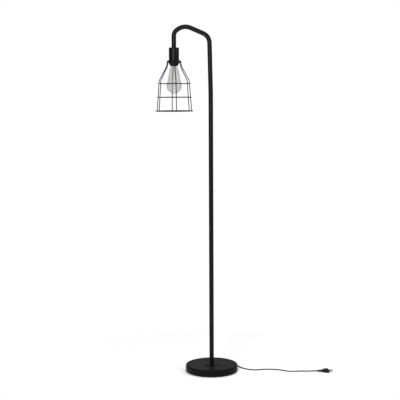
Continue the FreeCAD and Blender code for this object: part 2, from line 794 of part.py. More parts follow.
save("bulb_glass", bulb_body(0.0).cut(bulb_body(glass_wall)))
save("bulb_cap", bulb_cap())
save("cap_insulator", turned([(0, cap_top - insulator_foot),
                              (insulator_radius - insulator_foot, cap_top - insulator_foot),
                              (insulator_radius, cap_top), (insulator_radius, cap_top + cap_shoulder_height),
                              (tip_radius, insulator_top), (0, insulator_top)], head_x))
save("solder_tip", turned([(0, insulator_top), (tip_radius, insulator_top),
                           (tip_radius - tip_bevel, tip_top), (0, tip_top)], head_x))
save("bulb_stem", bulb_stem())
save("led_filaments", filaments())
save("filament_leads", filament_leads())
driver_bottom = neck_top + driver_gap
driver_top = driver_bottom + driver_thickness
save("bulb_driver", cylinder(driver_radius, driver_bottom, driver_top, head_x).fuse(
    cylinder(capacitor_radius, driver_top, cap_top - capacitor_gap, head_x)))


# ---- inline switch ----------------------------------------------------------------------------
switch_axis = heading_vector(switch_heading)
switch_from = Vector(switch_start[0], switch_start[1], 0)
switch_middle = switch_height / 2


def placed_on_switch(shape):
    # shapes are built along +X from the end where the cord comes in
    shape.rotate(Vector(0, 0, 0), Vector(0, 0, 1), switch_heading)
    shape.translate(switch_from)
    return shape


def switch_block(length, width, bottom, top, corner, x):
    block = Part.makeBox(length, width, top - bottom, Vector(x, -width / 2, bottom))
    upright = [e for e in block.Edges if abs(e.BoundBox.ZLength - (top - bottom)) < 0.01]
    return block.makeFillet(corner, upright)


def switch_shell(bottom, top, floor_bottom, floor_top):
    shell = switch_block(switch_length, switch_width, bottom, top, switch_corner, 0)
    room = switch_block(switch_length - 2 * switch_wall, switch_width - 2 * switch_wall, bottom, top,
                        switch_corner - switch_wall, switch_wall)
    floor = switch_block(switch_length, switch_width, floor_bottom, floor_top, switch_corner, 0)
    shell = shell.cut(room).fuse(floor)
    for x in (switch_wall, switch_length - switch_grip):
        grip = Part.makeBox(switch_grip - switch_wall, switch_width - 2 * switch_wall, top - bottom,
                            Vector(x, -switch_width / 2 + switch_wall, bottom))
        shell = shell.fuse(grip)
    for x in (0, switch_length - switch_grip):
        cord = Part.makeCylinder(cord_radius, switch_grip, Vector(x, 0, switch_middle), Vector(1, 0, 0))
        shell = shell.cut(cord)
    return shell


switch_screw_offset = switch_width / 2 - switch_screw_side
switch_screw_places = [(switch_screw_inset, switch_screw_offset),
                       (switch_length - switch_screw_inset, -switch_screw_offset)]
rocker_x = switch_length / 2
opening_length = rocker_length + 2 * rocker_gap
opening_width = rocker_width + rocker_gap


def switch_screws():
    screws = []
    for x, y in switch_screw_places:
        shank = cylinder(switch_screw_radius, switch_wall, switch_height - 2 * switch_wall, x, y)
        screws.append(shank.fuse(cylinder(switch_screw_head, switch_screw_recess, switch_wall, x, y)))
    return screws


def screw_posts(bottom, top):
    return [cylinder(switch_post_radius, bottom, top, x, y) for x, y in switch_screw_places]


def switch_lower():
    shell = switch_shell(0, switch_middle, 0, switch_wall)
    for post in screw_posts(0, switch_middle):
        shell = shell.fuse(post)
    for screw in switch_screws():
        shell = shell.cut(screw)
    for x, y in switch_screw_places:
        shell = shell.cut(cylinder(switch_screw_head, 0, switch_screw_recess, x, y))
    return shell


def pivot_pin(radius):
    length = rocker_width + 2 * pivot_length
    return Part.makeCylinder(radius, length, Vector(rocker_x, -length / 2, rocker_pivot_height),
                             Vector(0, 1, 0))


def switch_upper():
    shell = switch_shell(switch_middle, switch_height, switch_height - switch_wall, switch_height)
    for post in screw_posts(switch_middle, switch_height):
        shell = shell.fuse(post)
    for side in (-1, 1):
        inner = side * opening_width / 2
        ear = Part.makeBox(ear_length, ear_thickness, switch_height - switch_middle,
                           Vector(rocker_x - ear_length / 2, min(inner, inner + side * ear_thickness),
                                  switch_middle))
        shell = shell.fuse(ear)
    opening = Part.makeBox(opening_length, opening_width, switch_height,
                           Vector(rocker_x - opening_length / 2, -opening_width / 2, switch_middle))
    shell = shell.cut(opening).cut(pivot_pin(pivot_radius + pivot_clearance))
    for screw in switch_screws():
        shell = shell.cut(screw)
    return shell


def rocker():
    half = rocker_length / 2
    outline = [(-half, rocker_rise), (0, rocker_dip + pivot_radius), (half, rocker_rise),
               (half - rocker_taper, -pivot_radius), (pivot_radius, -rocker_depth),
               (-pivot_radius, -rocker_depth), (rocker_taper - half, -pivot_radius)]
    corners = [Vector(rocker_x + x, -rocker_width / 2, rocker_pivot_height + z) for x, z in outline]
    body = Part.Face(Part.makePolygon(corners + corners[:1])).extrude(Vector(0, rocker_width, 0))
    body = body.fuse(pivot_pin(pivot_radius)).removeSplitter()
    body.rotate(Vector(rocker_x, 0, rocker_pivot_height), Vector(0, 1, 0), rocker_tilt)
    return body


def switch_contacts():
    # two brass strips on the floor of the switch, one raised under the rocker
    strips = []
    for side in (-1, 1):
        near = rocker_x + side * (rocker_length / 2 + contact_end_gap)
        far = rocker_x + side * (switch_length / 2 - switch_grip - contact_end_gap)
        strips.append(Part.makeBox(abs(far - near), contact_strip_width, contact_strip_height,
                                   Vector(min(near, far), -contact_strip_width / 2, switch_wall)))
    bridge = Part.makeBox(rocker_length, bridge_width, bridge_thickness,
                          Vector(rocker_x - rocker_length / 2, -bridge_width / 2, switch_wall + bridge_lift))
    return group(strips + [bridge])


save("switch_lower_shell", placed_on_switch(switch_lower()))
save("switch_upper_shell", placed_on_switch(switch_upper()))
save("switch_rocker", placed_on_switch(rocker()))
save("switch_contacts", placed_on_switch(switch_contacts()))
save("switch_screws", placed_on_switch(group(switch_screws())))
pivot_at = switch_from + switch_axis * rocker_x + Vector(0, 0, rocker_pivot_height)
print("rocker pivot %.3f %.3f %.3f" % tuple(pivot_at))

# ---- plug -------------------------------------------------------------------------------------
plug_axis_height = plug_thickness / 2
plug_from = Vector(plug_start[0], plug_start[1], 0)
plug_direction = heading_vector(plug_heading)
face_x = plug_sleeve_length + plug_length


def placed_on_plug(shape):
    # shapes are built along +X from the end where the cord comes in
    shape.rotate(Vector(0, 0, 0), Vector(0, 0, 1), plug_heading)
    shape.translate(plug_from)
    return shape


def plug_pins():
    pins = []
    for side in (-1, 1):
        foot = Vector(face_x, side * pin_spacing / 2, plug_axis_height)
        root = Part.makeCylinder(pin_root_radius, pin_embed, foot - Vector(pin_embed, 0, 0), Vector(1, 0, 0))
        pins.append(Part.makeCylinder(pin_radius, pin_length, foot, Vector(1, 0, 0)).fuse(root))
    return pins


def plug_body():
    outline = [(plug_sleeve_length, -plug_rear_width / 2), (face_x - plug_flank, -plug_width / 2),
               (face_x, -plug_width / 2), (face_x, plug_width / 2), (face_x - plug_flank, plug_width / 2),
               (plug_sleeve_length, plug_rear_width / 2)]
    corners = [Vector(x, y, 0) for x, y in outline]
    body = Part.Face(Part.makePolygon(corners + corners[:1])).extrude(Vector(0, 0, plug_thickness))
    long_edges = [e for e in body.Edges if e.BoundBox.ZLength < 0.01 and e.BoundBox.XMin < face_x - 0.01]
    body = body.makeFillet(plug_edge, long_edges)
    for pin in plug_pins():
        body = body.cut(pin)
    return body


def plug_sleeve():
    sleeve = turned([(0, 0), (plug_sleeve_tip, 0), (plug_sleeve_root, plug_sleeve_length),
                     (0, plug_sleeve_length)])
    sleeve.rotate(Vector(0, 0, 0), Vector(0, 1, 0), 90)
    sleeve.translate(Vector(0, 0, plug_axis_height))
    return sleeve


save("plug_body", placed_on_plug(plug_body()))
save("plug_pins", placed_on_plug(group(plug_pins())))
save("plug_strain_relief", placed_on_plug(plug_sleeve()))

# ---- free cord --------------------------------------------------------------------------------
sweep_angle = math.radians(coil_start_angle - coil_end_angle + 360.0 * coil_full_turns)
layer_angle = (sweep_angle - math.pi) / 2
steady = coil_pitch / (2 * math.pi)
coil_low = cord_radius + coil_lift
coil_outer_radius = coil_inner_radius + steady * layer_angle


def coil_state(swept_angle):
    # radius and height of the winding: in on the lower layer, a half turn of climb, out on the upper
    if swept_angle <= layer_angle:
        return coil_outer_radius - steady * swept_angle, coil_low
    climb = swept_angle - layer_angle
    if climb >= math.pi:
        return coil_inner_radius + steady * (climb - math.pi), coil_low + coil_pitch
    radius = coil_inner_radius - steady * climb + steady * climb ** 2 / math.pi
    share = (1 - math.cos(climb)) / 2
    return radius, coil_low + coil_pitch * share


def coil_point(swept_angle):
    radius, height = coil_state(swept_angle)
    angle = math.radians(coil_start_angle) - swept_angle
    return Vector(coil_center[0] + radius * math.cos(angle), coil_center[1] + radius * math.sin(angle), height)


def coil_tangent(swept_angle):
    step = 1e-4
    return (coil_point(swept_angle + step) - coil_point(swept_angle - step)).normalize()


def biarc(start, start_tangent, end, end_tangent):
    chord = end - start
    both = start_tangent + end_tangent
    spread = 2 * (1 - start_tangent.dot(end_tangent))
    reach = (-chord.dot(both) + math.sqrt(chord.dot(both) ** 2 + spread * chord.dot(chord))) / spread
    joint = (start + end + (start_tangent - end_tangent) * reach) * 0.5
    return [arc_through(start, start + start_tangent * reach, joint),
            arc_through(joint, end - end_tangent * reach, end)]


def coil_path():
    quarter = math.pi / 2
    layer_steps = math.ceil(layer_angle / quarter)
    stations = [layer_angle * step / layer_steps for step in range(layer_steps + 1)]
    stations.append(layer_angle + quarter)
    stations += [layer_angle + math.pi + layer_angle * step / layer_steps for step in range(layer_steps + 1)]
    edges = []
    for here, there in zip(stations, stations[1:]):
        edges += biarc(coil_point(here), coil_tangent(here), coil_point(there), coil_tangent(there))
    stub_in = coil_point(0) - coil_tangent(0) * cord_diameter
    stub_out = coil_point(sweep_angle) + coil_tangent(sweep_angle) * cord_diameter
    edges.insert(0, Part.LineSegment(stub_in, coil_point(0)).toShape())
    edges.append(Part.LineSegment(coil_point(sweep_angle), stub_out).toShape())
    return Part.Wire(edges)


def least_gap(path):
    spacing = 2.0
    count = int(path.Length / spacing)
    points = path.discretize(count)
    skip = int(4 * cord_diameter / spacing)
    nearest = min((first - second).Length for index, first in enumerate(points)
                  for second in points[index + skip:])
    return nearest - cord_diameter


def coil_tie():
    # a band round the bundle of turns
    inner_low = coil_low - cord_radius - tie_slack
    inner_high = coil_low + coil_pitch + cord_radius + tie_slack
    inner_near = coil_inner_radius - cord_radius - tie_room
    inner_far = coil_outer_radius + cord_radius + tie_slack
    outer = Part.makeBox(inner_far - inner_near + 2 * tie_thickness, tie_width,
                         inner_high - inner_low + 2 * tie_thickness,
                         Vector(inner_near - tie_thickness, -tie_width / 2, inner_low - tie_thickness))
    inner = Part.makeBox(inner_far - inner_near, tie_width, inner_high - inner_low,
                         Vector(inner_near, -tie_width / 2, inner_low))
    band = outer.cut(inner)
    band.rotate(Vector(0, 0, 0), Vector(0, 0, 1), tie_angle)
    band.translate(Vector(coil_center[0], coil_center[1], 0))
    return band


winding = coil_path()
coil = swept(winding, cord_radius)
print("coil length %.1f" % winding.Length,
      "volume ratio %.5f" % (coil.Volume / (math.pi * cord_radius ** 2 * winding.Length)),
      "least gap %.2f" % least_gap(winding), "outer radius %.2f" % coil_outer_radius)
save("cord_coil", coil)
save("coil_tie", coil_tie())

coil_in = coil_point(0) - coil_tangent(0) * cord_diameter
coil_out = coil_point(sweep_angle) + coil_tangent(sweep_angle) * cord_diameter
lead = [exit_tip, exit_tip + exit_direction * exit_straight]
lead += [Vector(*point) for point in lead_points]
lead += [coil_in - coil_tangent(0) * coil_approach, coil_in]
lead_length = cord_tube("cord_lead", lead)

switch_in = switch_from + switch_axis * switch_grip + Vector(0, 0, switch_middle)
link = [coil_out, coil_out + coil_tangent(sweep_angle) * coil_leave,
        switch_in - switch_axis * switch_approach, switch_in]
link_length = cord_tube("cord_link", link)

switch_out = switch_from + switch_axis * (switch_length - switch_grip) + Vector(0, 0, switch_middle)
plug_in = plug_from + Vector(0, 0, plug_axis_height)
run = [switch_out, switch_out + switch_axis * switch_leave]
run += [Vector(*point) for point in run_points]
run += [plug_in - plug_direction * plug_approach, plug_in]
run_length = cord_tube("cord_run", run)
print("free cord %.1f" % (lead_length + winding.Length + link_length + run_length))
for name, route in (("lead", lead), ("link", link), ("run", run)):
    print(name, [tuple(round(value, 2) for value in point) for point in route])
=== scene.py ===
import json
import math
import bmesh
import bpy
from mathutils import Matrix, Vector


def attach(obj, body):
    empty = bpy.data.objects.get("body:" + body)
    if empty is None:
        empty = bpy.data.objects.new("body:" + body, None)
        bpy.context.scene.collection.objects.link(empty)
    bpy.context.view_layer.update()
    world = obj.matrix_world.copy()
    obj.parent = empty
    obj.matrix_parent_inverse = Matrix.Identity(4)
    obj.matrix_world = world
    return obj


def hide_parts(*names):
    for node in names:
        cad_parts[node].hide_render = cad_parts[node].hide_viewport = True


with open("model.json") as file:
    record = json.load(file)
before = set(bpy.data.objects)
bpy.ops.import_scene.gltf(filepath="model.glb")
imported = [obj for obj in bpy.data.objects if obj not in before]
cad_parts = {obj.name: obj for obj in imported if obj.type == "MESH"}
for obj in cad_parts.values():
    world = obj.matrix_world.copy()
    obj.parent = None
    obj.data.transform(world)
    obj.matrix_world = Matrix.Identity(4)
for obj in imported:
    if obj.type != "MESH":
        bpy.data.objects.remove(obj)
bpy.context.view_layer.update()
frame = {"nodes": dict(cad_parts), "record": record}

mm = 0.001
print("frame loaded:", len(frame["nodes"]), "pieces from the solid model")


cameraSet = {
    "place": (-0.0465, -4.261, 1.192),
    "tilt": 83.82,        # degrees from straight down
    "roll": 0.27,         # the photograph's top leans this far to the left
    "lens": 92.25,
}


def placeCamera():
    bpy.ops.object.select_all(action="DESELECT")
    bpy.ops.object.camera_add(location=cameraSet["place"])
    camera = bpy.context.object
    aim = Matrix.Rotation(math.radians(cameraSet["tilt"]), 4, "X")
    aim = aim @ Matrix.Rotation(math.radians(-cameraSet["roll"]), 4, "Z")
    camera.rotation_euler = aim.to_euler()
    camera.data.lens = cameraSet["lens"]
    bpy.context.scene.camera = camera


placeCamera()


class Value:
    def __init__(self, finish, socket):
        self.finish = finish
        self.socket = socket

    def work(self, operation, first, second):
        return self.finish.add("ShaderNodeMath", {"operation": operation}, {0: first, 1: second})

    def __add__(self, other):
        return self.work("ADD", self, other)

    def __radd__(self, other):
        return self.work("ADD", other, self)

    def __sub__(self, other):
        return self.work("SUBTRACT", self, other)

    def __rsub__(self, other):
        return self.work("SUBTRACT", other, self)

    def __mul__(self, other):
        return self.work("MULTIPLY", self, other)

    def __rmul__(self, other):
        return self.work("MULTIPLY", other, self)

    def __truediv__(self, other):
        return self.work("DIVIDE", self, other)

    def __rtruediv__(self, other):
        return self.work("DIVIDE", other, self)

    def __pow__(self, other):
        return self.work("POWER", self, other)


noiseSet = {"roughness": 0.55, "speckDetail": 2.0}


class Finish:
    def __init__(self, name, **fixed):
        self.material = bpy.data.materials.new(name)
        self.material.use_nodes = True
        self.tree = self.material.node_tree
        self.shader = self.tree.nodes["Principled BSDF"]
        self.set(**{label.replace("_", " "): value for label, value in fixed.items()})
        self.place = self.add("ShaderNodeTexCoord", {}, {}, "Object")

    def set(self, **values):
        for label, value in values.items():
            if isinstance(value, Value):
                self.tree.links.new(value.socket, self.shader.inputs[label])
            else:
                self.shader.inputs[label].default_value = value

    def add(self, kind, settings, values, output=0):
        node = self.tree.nodes.new(kind)
        for label, setting in settings.items():
            setattr(node, label, setting)
        for label, value in values.items():
            if isinstance(value, Value):
                self.tree.links.new(value.socket, node.inputs[label])
            else:
                node.inputs[label].default_value = value
        return Value(self, node.outputs[output])

    def noise(self, scale, detail, stretch=(1, 1, 1)):
        # scale counts the features in a metre
        place = self.place
        if stretch != (1, 1, 1):
            place = self.add("ShaderNodeMapping", {}, {"Vector": place, "Scale": stretch})
        values = {"Vector": place, "Scale": scale, "Detail": detail, "Roughness": noiseSet["roughness"]}
        return self.add("ShaderNodeTexNoise", {"noise_dimensions": "3D"}, values, "Fac")

    def specks(self, scale, low, high):
        # 0 on the plain surface and 1 on scattered specks
        level = self.noise(scale, noiseSet["speckDetail"])
        return self.add("ShaderNodeMapRange", {"clamp": True},
                        {"Value": level, "From Min": low, "From Max": high})

    def mixed(self, share, first, second):
        return self.add("ShaderNodeMix", {"data_type": "RGBA", "clamp_factor": True},
                        {0: share, 6: first, 7: second}, 2)

    def bump(self, height, distance):
        return self.add("ShaderNodeBump", {}, {"Height": height, "Distance": distance, "Strength": 1.0})


def grey(level):
    return (level, level, level, 1.0)


coatSet = {
    "colour": (0.0026, 0.0024, 0.0029, 1.0),
    "worn": (0.0050, 0.0047, 0.0054, 1.0),
    "dustTone": (0.030, 0.028, 0.031, 1.0),
    "cloud": (9.0, 4.0),          # scale and detail, here and in the sets below
    "cloudRough": 0.10,           # what the clouds add to the roughness
    "dust": (420.0, 0.74, 0.82),  # scale, and the noise levels where specks start and are full
    "dustShare": 0.35,
    "dustRough": 0.2,
    "peel": (900.0, 2.0),
    "peelDepth": 0.000006,
    "satin": {"roughness": 0.40, "specular": 0.13},
    "flat": {"roughness": 0.50, "specular": 0.085},       # the pressed cover and the disc on it
}


def powderCoat(name, roughness, specular):
    # black powder coat: fine orange peel, cloudy sheen, a few dust specks
    s = coatSet
    finish = Finish(name, Specular_IOR_Level=specular)
    cloud = finish.noise(*s["cloud"])
    dust = finish.specks(*s["dust"])
    tone = finish.mixed(cloud, s["colour"], s["worn"])
    peel = finish.noise(*s["peel"])
    least = roughness - s["cloudRough"] / 2
    finish.set(**{"Base Color": finish.mixed(dust * s["dustShare"], tone, s["dustTone"]),
                  "Roughness": cloud * s["cloudRough"] + dust * s["dustRough"] + least,
                  "Normal": finish.bump(peel, s["peelDepth"])})
    return finish.material


plasticSet = {
    "colour": grey(0.0050),
    "faded": grey(0.0090),
    "specular": 0.14,
    "flow": (45.0, 3.0, (1, 1, 3)),       # scale, detail and stretch
    "flowRough": 0.12,
    "grain": (2600.0, 2.0),
    "grainRough": 0.08,
    "grainDepth": 0.000010,
    "leastRough": 0.38,
}


def mouldedPlastic(name):
    # black moulded plastic: spark-eroded grain and faint flow marks
    s = plasticSet
    finish = Finish(name, Specular_IOR_Level=s["specular"])
    flow = finish.noise(*s["flow"])
    grain = finish.noise(*s["grain"])
    finish.set(**{"Base Color": finish.mixed(flow, s["colour"], s["faded"]),
                  "Roughness": flow * s["flowRough"] + grain * s["grainRough"] + s["leastRough"],
                  "Normal": finish.bump(grain, s["grainDepth"])})
    return finish.material


rubberSet = {
    "colour": grey(0.012),
    "bloomed": grey(0.030),
    "specular": 0.25,
    "bloom": (70.0, 4.0),
    "bloomRough": 0.15,
    "leastRough": 0.66,
    "grain": (1800.0, 3.0),
    "grainDepth": 0.00001,
}


def softRubber(name):
    # dull rubber with a grey bloom
    s = rubberSet
    finish = Finish(name, Specular_IOR_Level=s["specular"])
    bloom = finish.noise(*s["bloom"])
    finish.set(**{"Base Color": finish.mixed(bloom, s["colour"], s["bloomed"]),
                  "Roughness": bloom * s["bloomRough"] + s["leastRough"],
                  "Normal": finish.bump(finish.noise(*s["grain"]), s["grainDepth"])})
    return finish.material


sheathSet = {
    "colour": grey(0.0040),
    "rubbedTone": grey(0.0085),
    "dustTone": grey(0.09),
    "specular": 0.12,
    "rubbed": (28.0, 4.0),
    "rubbedRough": 0.16,
    "haze": (900.0, 2.0),
    "hazeRough": 0.06,
    "hazeDepth": 0.00001,
    "dust": (600.0, 0.70, 0.80),
    "dustShare": 0.4,
    "leastRough": 0.38,
}


def cordSheath(name):
    # flexible sheath: fine haze, rubbed patches, finger dust
    s = sheathSet
    finish = Finish(name, Specular_IOR_Level=s["specular"])
    rubbed = finish.noise(*s["rubbed"])
    haze = finish.noise(*s["haze"])
    dust = finish.specks(*s["dust"])
    tone = finish.mixed(rubbed, s["colour"], s["rubbedTone"])
    finish.set(**{"Base Color": finish.mixed(dust * s["dustShare"], tone, s["dustTone"]),
                  "Roughness": rubbed * s["rubbedRough"] + haze * s["hazeRough"] + s["leastRough"],
                  "Normal": finish.bump(haze, s["hazeDepth"])})
    return finish.material


metalSet = {
    "stain": (60.0, 5.0),
    "stainRough": 0.14,
    "grainRough": 0.10,
    "grainDepth": 0.000006,
    "zinc": {"colour": (0.60, 0.60, 0.58, 1.0), "dull": (0.42, 0.42, 0.42, 1.0), "roughness": 0.38,
             "grain": (700.0, 3.0, (1, 1, 5))},
    "brass": {"colour": (0.76, 0.56, 0.24, 1.0), "dull": (0.50, 0.34, 0.14, 1.0), "roughness": 0.32,
              "grain": (500.0, 3.0, (1, 1, 4))},
    "nickel": {"colour": (0.68, 0.66, 0.60, 1.0), "dull": (0.50, 0.48, 0.44, 1.0), "roughness": 0.28,
               "grain": (400.0, 3.0, (1, 1, 6))},
    "copper": {"colour": (0.74, 0.38, 0.22, 1.0), "dull": (0.45, 0.20, 0.12, 1.0), "roughness": 0.36,
               "grain": (1200.0, 3.0, (1, 1, 0.2))},
    "solder": {"colour": (0.62, 0.62, 0.64, 1.0), "dull": (0.40, 0.40, 0.43, 1.0), "roughness": 0.42,
               "grain": (900.0, 3.0, (1, 1, 1))},
}


def platedMetal(name, colour, dull, roughness, grain):
    # plated or bare metal: drawn grain, and stains that dull it
    s = metalSet
    finish = Finish(name, Metallic=1.0)
    stain = finish.noise(*s["stain"])
    drawn = finish.noise(*grain)
    least = roughness - (s["stainRough"] + s["grainRough"]) / 2
    finish.set(**{"Base Color": finish.mixed(stain, colour, dull),
                  "Roughness": stain * s["stainRough"] + drawn * s["grainRough"] + least,
                  "Normal": finish.bump(drawn, s["grainDepth"])})
    return finish.material


ironSet = {
    "colour": grey(0.10),
    "rustTone": (0.11, 0.055, 0.03, 1.0),
    "metallic": 0.85,
    "sand": (600.0, 5.0),
    "sandRough": 0.2,
    "sandDepth": 0.0003,
    "rust": (55.0, 0.52, 0.72),
    "rustShare": 0.5,
    "leastRough": 0.55,
}


def castIron(name):
    # sand-cast skin with patches of rust
    s = ironSet
    finish = Finish(name, Metallic=s["metallic"])
    sand = finish.noise(*s["sand"])
    rust = finish.specks(*s["rust"])
    finish.set(**{"Base Color": finish.mixed(rust * s["rustShare"], s["colour"], s["rustTone"]),
                  "Roughness": sand * s["sandRough"] + s["leastRough"],
                  "Normal": finish.bump(sand, s["sandDepth"])})
    return finish.material


glazeSet = {
    "colour": (0.80, 0.78, 0.72, 1.0),
    "pale": (0.88, 0.87, 0.83, 1.0),
    "spotTone": (0.35, 0.30, 0.22, 1.0),
    "coat": 0.6,
    "coatRoughness": 0.08,
    "crazing": (130.0, 5.0),
    "crazingRough": 0.1,
    "crazingDepth": 0.00001,
    "spots": (700.0, 0.74, 0.79),
    "leastRough": 0.22,
}


def glazedWhite(name):
    # off-white glaze with fine crazing and brown spots
    s = glazeSet
    finish = Finish(name, Coat_Weight=s["coat"], Coat_Roughness=s["coatRoughness"])
    crazing = finish.noise(*s["crazing"])
    spots = finish.specks(*s["spots"])
    tone = finish.mixed(crazing, s["colour"], s["pale"])
    finish.set(**{"Base Color": finish.mixed(spots, tone, s["spotTone"]),
                  "Roughness": crazing * s["crazingRough"] + s["leastRough"],
                  "Normal": finish.bump(crazing, s["crazingDepth"])})
    return finish.material


sealSet = {
    "colour": (0.008, 0.006, 0.010, 1.0),
    "violet": (0.020, 0.014, 0.024, 1.0),
    "bubbleTone": grey(0.10),
    "specular": 0.5,
    "bubbles": (900.0, 0.66, 0.72),
    "bubbleShare": 0.5,
    "bubbleDepth": 0.00002,
    "cloud": (200.0, 3.0),
    "cloudRough": 0.1,
    "leastRough": 0.12,
}


def sealGlass(name):
    # black glass seal under the cap: deep violet black with tiny bubbles
    s = sealSet
    finish = Finish(name, Specular_IOR_Level=s["specular"])
    bubbles = finish.specks(*s["bubbles"])
    cloud = finish.noise(*s["cloud"])
    tone = finish.mixed(cloud, s["colour"], s["violet"])
    finish.set(**{"Base Color": finish.mixed(bubbles * s["bubbleShare"], tone, s["bubbleTone"]),
                  "Roughness": cloud * s["cloudRough"] + s["leastRough"],
                  "Normal": finish.bump(bubbles, s["bubbleDepth"])})
    return finish.material


glassSet = {
    "tint": (0.27, 0.265, 0.26, 1.0),
    "shade": (0.22, 0.216, 0.215, 1.0),
    "ior": 1.46,
    "film": (160.0, 3.0),
    "filmRough": 0.03,
    "leastRough": 0.06,
    "wave": (24.0, 2.0, (1, 1, 0.4)),
    "waveDepth": 0.00008,
    "opacity": 0.18,      # seen square on
    "rimOpacity": 0.22,   # added where the glass turns away
    "rimBlend": 0.4,
    "rimPower": 3.0,
    "filmOpacity": 0.02,
}


def clearGlass(name):
    # thin blown glass, faintly smoky: denser where it turns away, with a light film and slow waves
    s = glassSet
    finish = Finish(name, IOR=s["ior"])
    film = finish.noise(*s["film"])
    wave = finish.noise(*s["wave"])
    turned = finish.add("ShaderNodeLayerWeight", {}, {"Blend": s["rimBlend"]}, "Facing")
    rim = turned ** s["rimPower"] * s["rimOpacity"]
    finish.set(**{"Base Color": finish.mixed(film, s["tint"], s["shade"]),
                  "Roughness": film * s["filmRough"] + s["leastRough"],
                  "Alpha": rim + film * s["filmOpacity"] + s["opacity"],
                  "Normal": finish.bump(wave, s["waveDepth"])})
    return finish.material


phosphorSet = {
    "colour": (0.90, 0.66, 0.22, 1.0),
    "chipTone": (0.74, 0.47, 0.12, 1.0),
    "mottleTone": (0.93, 0.76, 0.36, 1.0),
    "specular": 0.35,
    "mottle": (900.0, 3.0),
    "mottleShare": 0.4,
    "mottleRough": 0.2,
    "mottleDepth": 0.00005,
    "chips": {"Scale": 130.0, "Distortion": 0.4, "Detail": 1.0},
    "chipShare": 0.35,
    "leastRough": 0.35,
}


def phosphorCoat(name):
    # silicone with yellow phosphor: mottled, and darker where the chips lie
    s = phosphorSet
    finish = Finish(name, Specular_IOR_Level=s["specular"])
    mottle = finish.noise(*s["mottle"])
    chips = finish.add("ShaderNodeTexWave", {"wave_type": "BANDS", "bands_direction": "Z"},
                       {"Vector": finish.place, **s["chips"]}, "Fac")
    tone = finish.mixed(chips * s["chipShare"], s["colour"], s["chipTone"])
    finish.set(**{"Base Color": finish.mixed(mottle * s["mottleShare"], tone, s["mottleTone"]),
                  "Roughness": mottle * s["mottleRough"] + s["leastRough"],
                  "Normal": finish.bump(mottle, s["mottleDepth"])})
    return finish.material


boardSet = {
    "colour": (0.62, 0.60, 0.50, 1.0),
    "pale": (0.78, 0.77, 0.70, 1.0),
    "specular": 0.45,
    "weave": (500.0, 2.0, (1, 6, 1)),
    "weaveRough": 0.2,
    "weaveDepth": 0.00004,
    "leastRough": 0.4,
}


def circuitBoard(name):
    # pale board with the weave of its glass cloth
    s = boardSet
    finish = Finish(name, Specular_IOR_Level=s["specular"])
    weave = finish.noise(*s["weave"])
    finish.set(**{"Base Color": finish.mixed(weave, s["colour"], s["pale"]),
                  "Roughness": weave * s["weaveRough"] + s["leastRough"],
                  "Normal": finish.bump(weave, s["weaveDepth"])})
    return finish.material


finishes = {
    "black_steel": powderCoat("powderCoatedSteel", **coatSet["satin"]),
    "iron": castIron("castIronWeight"),
    "zinc_steel": platedMetal("zincPlatedSteel", **metalSet["zinc"]),
    "black_rubber": softRubber("footRubber"),
    "black_plastic": mouldedPlastic("blackMouldedPlastic"),
    "cord_sheath": cordSheath("cordSheath"),
    "porcelain": glazedWhite("glazedPorcelain"),
    "brass": platedMetal("pressedBrass", **metalSet["brass"]),
    "nickel": platedMetal("nickelPlate", **metalSet["nickel"]),
    "copper": platedMetal("bareCopper", **metalSet["copper"]),
    "clear_glass": clearGlass("blownGlass"),
    "black_glass": sealGlass("blackGlassSeal"),
    "solder": platedMetal("dullSolder", **metalSet["solder"]),
    "phosphor": phosphorCoat("phosphorCoat"),
    "circuit_board": circuitBoard("driverBoard"),
}
baseCoat = powderCoat("powderCoatedCover", **coatSet["flat"])
print("finishes made:", len(finishes) + 1)


cordSet = {"diameter": 0.0044, "sides": 5, "steps": 8, "order": 3}
# points that pull the cords' lines, in millimetres: base to coil, coil to switch, switch to plug
exitRun = [(-54.91, 123.33, 11.5), (-60.93, 136.85, 11.5), (-60.5, 153.5, 8.2), (-50.5, 169.0, 4.6),
           (-33.5, 179.4, 2.8), (-17.26, 180.12, 2.8)]
switchRun = [(30.88, 140.11, 7.75), (42.12, 126.16, 5.5), (54.73, 116.31, 5.5)]
plugRun = [(84.67, 92.91, 5.5), (95.7, 84.29, 5.5), (106.9, 70.6, 3.8), (117.0, 55.5, 2.3),
           (131.5, 32.0, 2.3), (149.0, 13.5, 2.3), (168.5, 1.0, 2.3), (192.0, 0.0, 2.3),
           (214.0, 6.5, 2.3), (238.0, 9.0, 2.3), (262.0, 7.0, 2.3), (285.0, 0.5, 2.3),
           (304.5, -11.0, 2.3), (322.0, -22.5, 2.3), (341.0, -26.5, 2.3), (362.0, -23.0, 2.3),
           (381.0, -20.5, 2.3), (398.0, -22.5, 2.3), (414.0, -28.3, 3.9), (430.02, -32.23, 6.0),
           (444.0, -31.5, 6.0)]
coilSet = {
    "centre": (-5.0, 144.5),
    "low": 2.8,           # height of the lower layer's line
    "pitch": 4.95,        # from turn to turn, and from layer to layer
    "innerRadius": 17.8,
    "startAngle": 78.0,
    "sweep": 2218.0,      # degrees wound, clockwise
    "perTurn": 16,        # points in a turn
}


